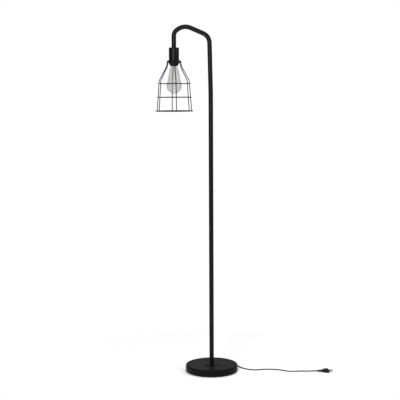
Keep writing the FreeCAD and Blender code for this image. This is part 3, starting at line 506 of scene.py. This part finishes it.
def coilPoints():
    # in on the lower layer, a half turn of climb, and out on the upper layer
    sweep = math.radians(coilSet["sweep"])
    layer = (sweep - math.pi) / 2
    steady = coilSet["pitch"] / (2 * math.pi)
    outer = coilSet["innerRadius"] + steady * layer
    count = round(sweep / (2 * math.pi) * coilSet["perTurn"])
    bulge = 1 / math.cos(sweep / count / 2)      # the line runs inside its points
    points = []
    for index in range(count + 1):
        turned = sweep * index / count
        climb = turned - layer
        radius, height = outer - steady * turned, coilSet["low"]
        if climb > 0:
            share = min(climb, math.pi)
            radius = coilSet["innerRadius"] - steady * share + steady * share ** 2 / math.pi
            radius += steady * max(climb - math.pi, 0)
            height += coilSet["pitch"] * (1 - math.cos(share)) / 2
        angle = math.radians(coilSet["startAngle"]) - turned
        points.append((coilSet["centre"][0] + radius * bulge * math.cos(angle),
                       coilSet["centre"][1] + radius * bulge * math.sin(angle), height))
    return points


def makeCord(name, route):
    curve = bpy.data.curves.new(name, "CURVE")
    curve.dimensions = "3D"
    spline = curve.splines.new("NURBS")
    spline.points.add(len(route) - 1)
    for point, (x, y, z) in zip(spline.points, route):
        point.co = (x * mm, y * mm, z * mm, 1.0)
    spline.order_u = cordSet["order"]
    spline.use_endpoint_u = True
    curve.resolution_u = cordSet["steps"]
    curve.bevel_depth = cordSet["diameter"] / 2
    curve.bevel_resolution = cordSet["sides"]
    curve.use_fill_caps = True
    curve.materials.append(finishes["cord_sheath"])
    cord = bpy.data.objects.new(name, curve)
    bpy.context.scene.collection.objects.link(cord)
    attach(cord, "lamp")
    return cord


coiledCord = makeCord("coiledCord", exitRun + coilPoints() + switchRun)
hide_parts("cord_lead", "cord_coil", "cord_link")
floorCord = makeCord("floorCord", plugRun)
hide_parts("cord_run")
print("cords laid")


def clearSelection():
    if bpy.context.mode != "OBJECT":
        bpy.ops.object.mode_set(mode="OBJECT")
    bpy.ops.object.select_all(action="DESELECT")


def choose(piece):
    # leaves only this piece selected
    clearSelection()
    piece.select_set(True)
    bpy.context.view_layer.objects.active = piece


def fixPlace(piece):
    # puts the piece's place into its mesh
    choose(piece)
    bpy.ops.object.transform_apply(location=True, rotation=True, scale=True)


def startEditing(name):
    piece = bpy.context.object
    piece.name = name
    piece.data.name = name
    bpy.ops.object.mode_set(mode="EDIT")
    bpy.ops.mesh.select_mode(type="FACE")
    bpy.ops.mesh.select_all(action="DESELECT")
    return piece


def pick(piece, kind, test):
    # selects the faces, edges or verts that pass the test, and nothing else
    bpy.ops.mesh.select_mode(type={"faces": "FACE", "edges": "EDGE", "verts": "VERT"}[kind])
    bpy.ops.mesh.select_all(action="DESELECT")
    mesh = bmesh.from_edit_mesh(piece.data)
    for item in [item for item in getattr(mesh, kind) if test(item)]:
        item.select_set(True)
    mesh.select_flush_mode()
    bmesh.update_edit_mesh(piece.data)


def latheProfile(name, centre, profile, sides, solid=False):
    # a ring is drawn from corner to corner of the profile, in millimetres: a solid one gets a cap at
    # both ends, and any other is closed on itself
    clearSelection()
    radius, height = profile[0]
    at = Vector((centre[0], centre[1], 0)) * mm
    bpy.ops.mesh.primitive_circle_add(vertices=sides, radius=radius * mm,
                                      location=at + Vector((0, 0, height * mm)))
    piece = startEditing(name)
    bpy.ops.mesh.select_mode(type="EDGE")
    bpy.ops.mesh.select_all(action="SELECT")
    if solid:
        bpy.ops.mesh.edge_face_add()
        pick(piece, "edges", lambda edge: True)
    for nextRadius, nextHeight in profile[1:]:
        rise = (nextHeight - height) * mm
        bpy.ops.mesh.extrude_edges_move(TRANSFORM_OT_translate={"value": (0, 0, rise)})
        grow = nextRadius / radius
        bpy.ops.transform.resize(value=(grow, grow, 1),
                                 center_override=at + Vector((0, 0, nextHeight * mm)))
        radius, height = nextRadius, nextHeight
    if solid:
        bpy.ops.mesh.edge_face_add()
    else:
        bpy.ops.mesh.select_mode(type="EDGE")
        bpy.ops.mesh.select_all(action="DESELECT")
        bpy.ops.mesh.select_non_manifold()
        bpy.ops.mesh.bridge_edge_loops()
    bpy.ops.mesh.select_all(action="SELECT")
    bpy.ops.mesh.normals_make_consistent(inside=False)
    bpy.ops.object.mode_set(mode="OBJECT")
    return piece


def roundEdges(piece, width, segments, angle):
    # rounds every edge that is sharper than the angle, in degrees
    bevel = piece.modifiers.new("roundedEdges", "BEVEL")
    bevel.width = width * mm
    bevel.segments = segments
    bevel.limit_method = "ANGLE"
    bevel.angle_limit = math.radians(angle)
    bpy.context.view_layer.objects.active = piece
    bpy.ops.object.modifier_apply(modifier=bevel.name)


def layAlong(piece, place, heading):
    # turns a piece made along +Z to lie along the heading, with its start at the place
    turn = Matrix.Rotation(math.radians(heading), 4, "Z") @ Matrix.Rotation(math.radians(90), 4, "Y")
    piece.matrix_world = Matrix.Translation(Vector(place) * mm) @ turn
    fixPlace(piece)


def settle(piece, slot, body="lamp", smooth=35.0, stands=()):
    # puts the place into the mesh, and gives the piece its finish and its body
    fixPlace(piece)
    bpy.ops.object.shade_smooth_by_angle(angle=math.radians(smooth))
    piece.data.materials.clear()
    piece.data.materials.append(finishes[slot])
    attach(piece, body)
    if stands:
        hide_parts(*stands)
    return piece


def joinCopies(name, pieces):
    clearSelection()
    for piece in pieces:
        piece.select_set(True)
    bpy.context.view_layer.objects.active = pieces[0]
    if len(pieces) > 1:
        bpy.ops.object.join()
    pieces[0].name = name
    pieces[0].data.name = name
    return pieces[0]


def copyOf(piece, matrix):
    twin = piece.copy()
    twin.data = piece.data.copy()
    bpy.context.scene.collection.objects.link(twin)
    twin.data.transform(matrix)
    return twin


squareOn = 0.99   # a normal this far along an axis points along it
slack = 0.05      # millimetres by which a place may miss its plane

poleSet = {
    "radius": 9.5,
    "bore": 8.3,
    "chamfer": 0.7,
    "foot": 31.5,         # heights of the lower end, the joint and the upper end
    "joint": 580.75,
    "top": 1130.0,
    "sides": 72,
}


def makePole(name, bottom, top, node):
    outer, bore, chamfer = poleSet["radius"], poleSet["bore"], poleSet["chamfer"]
    outline = [(bore, bottom), (outer - chamfer, bottom), (outer, bottom + chamfer), (outer, top - chamfer),
               (outer - chamfer, top), (bore, top)]
    settle(latheProfile(name, (0, 0), outline, poleSet["sides"]), "black_steel", stands=[node])


makePole("lowerPoleTube", poleSet["foot"], poleSet["joint"], "lower_pole")
makePole("middlePoleTube", poleSet["joint"], poleSet["top"], "middle_pole")
print("pole made")


headX = -151.0
plateSet = {
    "outline": [(15.5, 1309.3), (15.5, 1310.8), (21.0, 1310.8), (31.0, 1306.8), (31.0, 1304.4),
                (28.0, 1304.4), (28.0, 1306.05), (21.0, 1309.3)],
    "sides": 96,
    "edge": (0.45, 3, 20.0),      # width, segments and least angle of a rounded edge, here and below
}
shadeRingSet = {
    "outline": [(15.5, 1290.0), (17.0, 1290.0), (22.5, 1302.5), (22.5, 1305.0), (20.0, 1309.3),
                (15.5, 1309.3)],
    "ribs": 36,
    "ribDepth": 0.55,
    "ribInset": 0.1,
    "ribFrom": 17.2,      # radii between which a face of the cone lies
    "ribTo": 22.3,
    "ribFacing": 0.4,
    "edge": (0.12, 1, 40.0),
}


def makePlate():
    plate = latheProfile("cagePlate", (headX, 0), plateSet["outline"], plateSet["sides"])
    roundEdges(plate, *plateSet["edge"])
    settle(plate, "black_steel", stands=["cage_top_plate"])


def makeShadeRing():
    # the nut that clamps the cage, with grip ribs round its cone
    s = shadeRingSet
    sides = 2 * s["ribs"]
    ring = latheProfile("shadeRing", (headX, 0), s["outline"], sides)
    choose(ring)
    bpy.ops.object.mode_set(mode="EDIT")

    def onRib(face):
        centre = face.calc_center_median()
        out = Vector((centre.x, centre.y, 0))
        place = math.atan2(out.y, out.x) / (2 * math.pi) * sides
        onCone = s["ribFrom"] * mm < out.length < s["ribTo"] * mm and face.normal.z < 0
        outward = face.normal.dot(out.normalized()) > s["ribFacing"]
        return onCone and outward and math.floor(place + sides) % 2 == 0

    pick(ring, "faces", onRib)
    bpy.ops.mesh.inset(thickness=s["ribInset"] * mm, use_individual=True)
    bpy.ops.mesh.extrude_faces_move(TRANSFORM_OT_shrink_fatten={"value": s["ribDepth"] * mm})
    bpy.ops.object.mode_set(mode="OBJECT")
    roundEdges(ring, *s["edge"])
    settle(ring, "black_plastic", smooth=30.0, stands=["shade_ring"])


weldSet = {
    "size": (1.15, 1.9, 1.5),         # half sizes of a bead: across, along the ring, and up
    "sides": 12,
    "rings": 8,
    "flatFrom": 0.8,
    "flatten": (0, 0, -0.3),
    "sagFrom": 0.9,
    "sag": (0.15, 0, 0.1),
    "vary": 0.15,                     # share by which the beads differ in size
    "varyStep": 3,
    "spin": 0.3,
    "spinStep": 5,
    "firstAngle": 8.0,
    "wires": 6,
    "places": [(67.15, 1214.8), (71.6, 1158.7), (76.2, 1101.9), (29.5, 1304.6)],     # rings and plate
}


def makeWelds():
    # one flattened bead of weld, copied to each place where a wire meets a ring or the plate
    s = weldSet
    clearSelection()
    bpy.ops.mesh.primitive_uv_sphere_add(segments=s["sides"], ring_count=s["rings"], radius=mm)
    bead = startEditing("weldBead")
    pick(bead, "verts", lambda vert: True)
    bpy.ops.transform.resize(value=s["size"])
    pick(bead, "verts", lambda vert: vert.co.z > s["flatFrom"] * mm)
    bpy.ops.transform.translate(value=Vector(s["flatten"]) * mm)
    pick(bead, "verts", lambda vert: vert.co.y > s["sagFrom"] * mm)
    bpy.ops.transform.translate(value=Vector(s["sag"]) * mm)
    bpy.ops.object.mode_set(mode="OBJECT")
    beads = []
    for wire in range(s["wires"]):
        angle = math.radians(-90 + s["firstAngle"] + 360.0 * wire / s["wires"])
        for radius, height in s["places"]:
            place = Vector((headX + radius * math.cos(angle), radius * math.sin(angle), height)) * mm
            turn = Matrix.Rotation(angle + s["spin"] * math.sin(wire * s["spinStep"] + height), 4, "Z")
            grow = Matrix.Scale(1.0 + s["vary"] * math.sin(wire * s["varyStep"] + height), 4)
            beads.append(copyOf(bead, Matrix.Translation(place) @ turn @ grow))
    bpy.data.objects.remove(bead)
    settle(joinCopies("weldBeads", beads), "black_steel", smooth=60.0)


makePlate()
makeShadeRing()
makeWelds()
print("lampholder and cage dressed")


filamentSet = {
    "count": 4,
    "firstAngle": 45,
    "top": 1247.0,
    "bottom": 1211.0,
    "topCircle": 5.0,
    "bottomCircle": 9.5,
    "radius": 1.0,
    "rodEnd": [(0.3, 0.6), (0.8, 0.7), (1.0, 1.3)],       # share of the radius, and distance from the end
    "rodSides": 20,
    "tab": 0.55,
    "tabLength": 1.6,
    "tabOutline": [(0.2, -1.6), (1.0, -1.5), (1.0, -0.1), (0.7, 0.0)],
    "tabSides": 12,
}


def makeFilaments():
    # a rod of phosphor with a metal tab at each end, copied to the four places
    s = filamentSet
    length = math.hypot(s["top"] - s["bottom"], s["bottomCircle"] - s["topCircle"])
    outline = [(share * s["radius"], inward - length) for share, inward in s["rodEnd"]]
    outline += [(share * s["radius"], -inward) for share, inward in reversed(s["rodEnd"])]
    rod = latheProfile("filamentRod", (0, 0), outline, s["rodSides"], solid=True)
    outline = [(share * s["tab"], height) for share, height in s["tabOutline"]]
    tab = latheProfile("filamentTab", (0, 0), outline, s["tabSides"], solid=True)
    foot = copyOf(tab, Matrix.Translation((0, 0, (s["tabLength"] - length) * mm)))
    tabs = joinCopies("filamentTab", [tab, foot])
    fixPlace(rod)
    fixPlace(tabs)
    rods, metal = [], []
    for index in range(s["count"]):
        angle = math.radians(s["firstAngle"] + 360.0 * index / s["count"])
        out = Vector((math.cos(angle), math.sin(angle), 0))
        upper = Vector((headX, 0, s["top"])) + out * s["topCircle"]
        lower = Vector((headX, 0, s["bottom"])) + out * s["bottomCircle"]
        lean = (upper - lower).to_track_quat("Z", "Y").to_matrix().to_4x4()
        place = Matrix.Translation(upper * mm) @ lean
        rods.append(copyOf(rod, place))
        metal.append(copyOf(tabs, place))
    bpy.data.objects.remove(rod)
    bpy.data.objects.remove(tabs)
    settle(joinCopies("filamentTabs", metal), "nickel", "bulb", smooth=50.0)
    settle(joinCopies("filamentRods", rods), "phosphor", "bulb", smooth=50.0, stands=["led_filaments"])


makeFilaments()
print("bulb dressed")


slotSet = {
    "outline": [(-0.5, 0), (-0.3, 0.85), (0.3, 0.85), (0.5, 0)],      # shares of its width and depth
    "first": 0.9,         # place of the first slot, as a share of their spacing
}
reliefSet = {
    "azimuth": 114.0,
    "height": 11.5,
    "coverRadius": 110.0,
    "length": 25.0,
    "root": 4.4,
    "tip": 3.0,
    "tipEdge": 0.2,
    "collar": 5.6,
    "collarLength": 2.0,
    "neck": 4.5,
    "inner": 1.35,
    "flange": 1.5,
    "bore": 2.2,
    "slots": 6,
    "slotWidth": 1.1,
    "slotDepth": 0.55,
    "sides": 40,
    "edge": (0.22, 2, 35.0),
}


def slottedTaper(start, end, rootRadius, tipRadius, slots, width, depth):
    # outline of a tapered sleeve with rounded slots round it
    def radiusAt(height):
        return rootRadius + (tipRadius - rootRadius) * (height - start) / (end - start)
    outline = [(rootRadius, start)]
    spacing = (end - start) / (slots + 1)
    for index in range(slots):
        middleHeight = start + spacing * (index + slotSet["first"])
        for offset, share in slotSet["outline"]:
            height = middleHeight + offset * width
            outline.append((radiusAt(height) - share * depth, height))
    outline.append((tipRadius, end))
    return outline


def makeRelief():
    s = reliefSet
    back = -s["inner"] - s["flange"]
    outline = [(s["bore"], back), (s["collar"], back), (s["collar"], -s["inner"]), (s["neck"], -s["inner"]),
               (s["neck"], 0), (s["collar"], 0), (s["collar"], s["collarLength"])]
    outline += slottedTaper(s["collarLength"], s["length"] - s["tipEdge"], s["root"], s["tip"], s["slots"],
                            s["slotWidth"], s["slotDepth"])
    outline.append((s["bore"], s["length"]))
    relief = latheProfile("cordRelief", (0, 0), outline, s["sides"])
    fixPlace(relief)
    roundEdges(relief, *s["edge"])
    angle = math.radians(s["azimuth"])
    out = Vector((math.cos(angle), math.sin(angle), 0)) * s["coverRadius"]
    layAlong(relief, out + Vector((0, 0, s["height"])), s["azimuth"])
    settle(relief, "black_plastic", stands=["cord_strain_relief"])


plugSet = {
    "start": (444.0, -31.5, 6.0),
    "heading": 3.0,
    "length": 26.0,
    "width": 35.3,
    "rear": 17.0,
    "thick": 12.0,
    "flank": 8.0,
    "corner": 2.4,
    "cornerSteps": 5,
    "cornerAngle": 0.7,       # radians
    "panelEdge": 1.6,
    "panelDepth": 0.7,
    "ribs": 4,
    "ribStart": 5.0,
    "ribSpacing": 2.7,
    "ribWidth": 1.1,
    "ribCore": 0.4,           # share of its width in which a rib's middle lies
    "ribRise": 0.9,           # share of the panel's depth
    "edge": (0.3, 2, 40.0),
    "sleeve": 24.0,
    "sleeveTip": 3.2,
    "sleeveRoot": 4.6,
    "sleeveBore": 1.4,
    "sleeveLip": 0.3,
    "sleeveSides": 40,
    "sleeveEdge": (0.2, 2, 35.0),
    "slots": 6,
    "slotWidth": 1.1,
    "slotDepth": 0.5,
}


def makePlugBody():
    s = plugSet
    clearSelection()
    back, face = s["sleeve"] * mm, (s["sleeve"] + s["length"]) * mm
    flank = face - s["flank"] * mm
    bpy.ops.mesh.primitive_cube_add(size=1.0, location=((back + face) / 2, 0, 0),
                                    scale=(face - back, s["width"] * mm, s["thick"] * mm))
    bpy.ops.object.transform_apply(location=True, rotation=True, scale=True)
    body = startEditing("plugBody")
    bpy.ops.mesh.select_all(action="SELECT")
    bpy.ops.mesh.bisect(plane_co=(flank, 0, 0), plane_no=(1, 0, 0))
    pick(body, "verts", lambda vert: vert.co.x < back + slack * mm)
    narrow = s["rear"] / s["width"]
    bpy.ops.transform.resize(value=(1, narrow, 1), center_override=(back, 0, 0))
    pick(body, "edges", lambda edge: edge.calc_face_angle(0.0) > s["cornerAngle"])
    bpy.ops.mesh.bevel(offset=s["corner"] * mm, segments=s["cornerSteps"], affect="EDGES")

    # a sunk grip panel on each flat side
    def onFlat(item):
        return abs(item.normal.z) > squareOn and item.calc_center_median().x < flank

    pick(body, "faces", onFlat)
    bpy.ops.mesh.inset(thickness=s["panelEdge"] * mm, depth=-s["panelDepth"] * mm, use_individual=True)
    # ribs across the panel
    ribs = [back + (s["ribStart"] + s["ribSpacing"] * number) * mm for number in range(s["ribs"])]
    for rib in ribs:
        for side in (-0.5, 0.5):
            bpy.ops.mesh.select_all(action="SELECT")
            bpy.ops.mesh.bisect(plane_co=(rib + side * s["ribWidth"] * mm, 0, 0), plane_no=(1, 0, 0))
    level = (s["thick"] / 2 - s["panelDepth"]) * mm

    def onRib(item):
        centre = item.calc_center_median()
        sunk = abs(item.normal.z) > squareOn and abs(abs(centre.z) - level) < slack * mm
        return sunk and any(abs(centre.x - rib) < s["ribWidth"] * s["ribCore"] * mm for rib in ribs)

    pick(body, "faces", onRib)
    rise = s["panelDepth"] * s["ribRise"] * mm
    bpy.ops.mesh.extrude_faces_move(TRANSFORM_OT_shrink_fatten={"value": rise})
    bpy.ops.object.mode_set(mode="OBJECT")
    roundEdges(body, *s["edge"])
    turn = Matrix.Rotation(math.radians(s["heading"]), 4, "Z")
    body.matrix_world = Matrix.Translation(Vector(s["start"]) * mm) @ turn
    return settle(body, "black_plastic", stands=["plug_body"])


def makePlugSleeve():
    s = plugSet
    taper = slottedTaper(0.0, s["sleeve"], s["sleeveTip"], s["sleeveRoot"], s["slots"], s["slotWidth"],
                         s["slotDepth"])
    outline = [(s["sleeveBore"], 0), (s["sleeveTip"] - s["sleeveLip"], 0.0)] + taper[1:]
    sleeve = latheProfile("plugSleeve", (0, 0), outline, s["sleeveSides"], solid=True)
    fixPlace(sleeve)
    roundEdges(sleeve, *s["sleeveEdge"])
    layAlong(sleeve, s["start"], s["heading"])
    return settle(sleeve, "black_plastic", stands=["plug_strain_relief"])


pinSet = {
    "radius": 2.0,
    "length": 19.0,
    "spacing": 18.6,
    "foot": [(0.6, 0.2), (0.9, 0.4)],                                 # share of the radius, and height
    "step": 0.1,
    "nose": [(0.97, 1.6), (0.88, 0.8), (0.62, 0.2), (0.25, 0.0)],     # and distance from the tip
    "sleeve": 10.0,
    "sleeveBore": 0.9,
    "sleeveEdge": 0.2,
    "sides": 28,
}


def makePins():
    # each pin has a moulded black sleeve on its first half and a rounded bare tip
    s = pinSet
    radius, bore = s["radius"], s["sleeveBore"] * s["radius"]
    heading = math.radians(plugSet["heading"])
    along = Vector((math.cos(heading), math.sin(heading), 0))
    across = Vector((-math.sin(heading), math.cos(heading), 0))
    tipOutline = [(share * radius, height) for share, height in s["foot"]]
    tipOutline += [(bore, s["sleeve"]), (s["nose"][0][0] * radius, s["sleeve"] + s["step"])]
    tipOutline += [(share * radius, s["length"] - inward) for share, inward in s["nose"]]
    sleeveOutline = [(bore, 0.0), (radius, 0.0), (radius, s["sleeve"] - s["sleeveEdge"]),
                     (bore, s["sleeve"])]
    sleeves, tips = [], []
    for side in (-1, 1):
        foot = Vector(plugSet["start"]) + along * (plugSet["sleeve"] + plugSet["length"])
        foot += across * (side * s["spacing"] / 2)
        tip = latheProfile("pinTip", (0, 0), tipOutline, s["sides"], solid=True)
        layAlong(tip, foot, plugSet["heading"])
        tips.append(tip)
        sleeve = latheProfile("pinSleeve", (0, 0), sleeveOutline, s["sides"])
        layAlong(sleeve, foot, plugSet["heading"])
        sleeves.append(sleeve)
    settle(joinCopies("pinSleeves", sleeves), "black_plastic", smooth=40.0)
    return settle(joinCopies("pinTips", tips), "nickel", smooth=50.0, stands=["plug_pins"])


tieSet = {
    "near": 14.6,         # the bundle's least and greatest radius, and its lowest and highest point
    "far": 34.1,
    "low": 0.5,
    "high": 10.05,
    "width": 5.0,
    "thick": 0.5,
    "angle": 245.0,
    "corner": 2.0,
    "cornerSteps": 5,
    "edge": (0.12, 2, 50.0),
}


def makeTie():
    # a flat band round the bundle of turns
    s = tieSet
    clearSelection()
    size = (s["far"] - s["near"] + 2 * s["thick"], s["width"], s["high"] - s["low"] + 2 * s["thick"])
    middle = ((s["near"] + s["far"]) / 2 * mm, 0, (s["low"] + s["high"]) / 2 * mm)
    bpy.ops.mesh.primitive_cube_add(size=1.0, location=middle, scale=[side * mm for side in size])
    bpy.ops.object.transform_apply(location=True, rotation=True, scale=True)
    band = startEditing("coilTie")
    pick(band, "edges", lambda edge: abs(edge.verts[0].co.y - edge.verts[1].co.y) > slack * mm)
    bpy.ops.mesh.bevel(offset=s["corner"] * mm, segments=s["cornerSteps"], affect="EDGES")
    pick(band, "faces", lambda item: abs(item.normal.y) > squareOn)
    bpy.ops.mesh.inset(thickness=s["thick"] * mm, use_individual=True)
    bpy.ops.mesh.bridge_edge_loops()
    bpy.ops.object.mode_set(mode="OBJECT")
    roundEdges(band, *s["edge"])
    centre = Vector((coilSet["centre"][0], coilSet["centre"][1], 0)) * mm
    band.matrix_world = Matrix.Translation(centre) @ Matrix.Rotation(math.radians(s["angle"]), 4, "Z")
    return settle(band, "black_plastic", stands=["coil_tie"])


makeRelief()
plugBody = makePlugBody()
plugSleeve = makePlugSleeve()
pinTips = makePins()
coilTie = makeTie()
print("cord fittings made")


flatCoated = ("base_cover", "pole_flange")
slotOf = {part["node"]: part["material_slot"] for part in frame["record"]["subparts"]}
for node, piece in frame["nodes"].items():
    piece.data.materials.clear()
    piece.data.materials.append(baseCoat if node in flatCoated else finishes[slotOf[node]])
print("finishes given to", len(slotOf), "solid pieces")

switchNodes = ["switch_lower_shell", "switch_upper_shell", "switch_rocker", "switch_contacts",
               "switch_screws"]
[coilTie] + [frame["nodes"][name] for name in switchNodes]


roomSet = {
    "floorSize": 16.0,
    "floorRoughness": 0.9,
    "floorTone": 0.86,
    "seenTone": 0.91,     # the floor's tone for the camera alone
    "nearEdge": 0.45,     # metres from the lamp where the floor starts to turn plain white, and is so
    "farEdge": 0.85,
    "world": 0.55,        # light that the room sheds on dull surfaces
    "room": 0.10,         # what gloss sees of the room in front of the backdrop
    "backdrop": 0.6,      # and of the backdrop
    "backdropFrom": 0.6,  # how far back, as a share of a view, the backdrop starts and is full
    "backdropTo": 0.98,
}
lampSet = {
    "frontLight": {"place": (-0.75, -2.6, 1.5), "aim": (0, 0, 1.2), "size": (0.6, 0.8), "power": 50.0},
    "sideLight": {"place": (2.6, -0.9, 1.9), "aim": (0, 0, 1.1), "size": (0.9, 0.9), "power": 20.0},
    "topLight": {"place": (0.2, 0.2, 3.3), "aim": (0, 0, 0), "size": (2.2, 2.2), "power": 40.0},
}


def makeFloor():
    # pale floor: it takes the lamp's shadow close by, and the camera sees plain white further off
    clearSelection()
    bpy.ops.mesh.primitive_plane_add(size=roomSet["floorSize"], location=(0, 0, 0))
    floor = bpy.context.object
    floor.name = "paleFloor"
    finish = Finish("paleFloor", Roughness=roomSet["floorRoughness"], Specular_IOR_Level=0.0)
    seen = finish.add("ShaderNodeLightPath", {}, {}, "Is Camera Ray")
    away = finish.add("ShaderNodeVectorMath", {"operation": "LENGTH"}, {0: finish.place}, "Value")
    far = finish.add("ShaderNodeMapRange", {"interpolation_type": "SMOOTHSTEP"},
                     {"Value": away, "From Min": roomSet["nearEdge"], "From Max": roomSet["farEdge"]})
    finish.set(**{"Base Color": grey(roomSet["floorTone"])})
    near = finish.add("ShaderNodeBsdfDiffuse", {}, {"Color": grey(roomSet["seenTone"])})
    white = finish.add("ShaderNodeEmission", {}, {"Color": grey(1.0)})
    shown = finish.add("ShaderNodeMixShader", {}, {0: far, 1: near, 2: white})
    plain = Value(finish, finish.shader.outputs[0])
    both = finish.add("ShaderNodeMixShader", {}, {0: seen, 1: plain, 2: shown})
    finish.tree.links.new(both.socket, finish.tree.nodes["Material Output"].inputs["Surface"])
    floor.data.materials.append(finish.material)


def makeWorld():
    # white wherever the camera looks, and a dim room with a paler backdrop behind the lamp for gloss
    world = bpy.data.worlds.new("paleRoom")
    world.use_nodes = True
    bpy.context.scene.world = world
    tree = world.node_tree
    light = tree.nodes["Background"]
    light.inputs["Color"].default_value = grey(1.0)

    def add(kind, values, output=0, **settings):
        node = tree.nodes.new(kind)
        for label, setting in settings.items():
            setattr(node, label, setting)
        for label, value in values.items():
            if isinstance(value, bpy.types.NodeSocket):
                tree.links.new(value, node.inputs[label])
            else:
                node.inputs[label].default_value = value
        return node.outputs[output]

    direction = add("ShaderNodeTexCoord", {}, "Generated")
    depth = add("ShaderNodeSeparateXYZ", {0: direction}, "Y")
    limits = {"From Min": roomSet["backdropFrom"], "From Max": roomSet["backdropTo"],
              "To Min": roomSet["room"], "To Max": roomSet["backdrop"]}
    behind = add("ShaderNodeMapRange", {"Value": depth, **limits}, interpolation_type="SMOOTHSTEP")
    path = tree.nodes.new("ShaderNodeLightPath")
    direct = {0: path.outputs["Is Camera Ray"], 1: path.outputs["Is Transmission Ray"]}
    straight = add("ShaderNodeMath", direct, operation="MAXIMUM")
    gloss = add("ShaderNodeMix", {0: path.outputs["Is Glossy Ray"], 2: roomSet["world"], 3: behind})
    strength = add("ShaderNodeMix", {0: straight, 2: gloss, 3: 1.0})
    tree.links.new(strength, light.inputs["Strength"])


def makeLamps():
    for name, lamp in lampSet.items():
        clearSelection()
        bpy.ops.object.light_add(type="AREA", location=lamp["place"])
        light = bpy.context.object
        light.name = name
        light.data.shape = "RECTANGLE"
        light.data.size, light.data.size_y = lamp["size"]
        light.data.energy = lamp["power"]
        aim = Vector(lamp["aim"]) - Vector(lamp["place"])
        light.rotation_euler = aim.to_track_quat("-Z", "Y").to_euler()


makeFloor()
makeWorld()
makeLamps()
bpy.context.scene.view_settings.view_transform = "Standard"
print("room and light set")
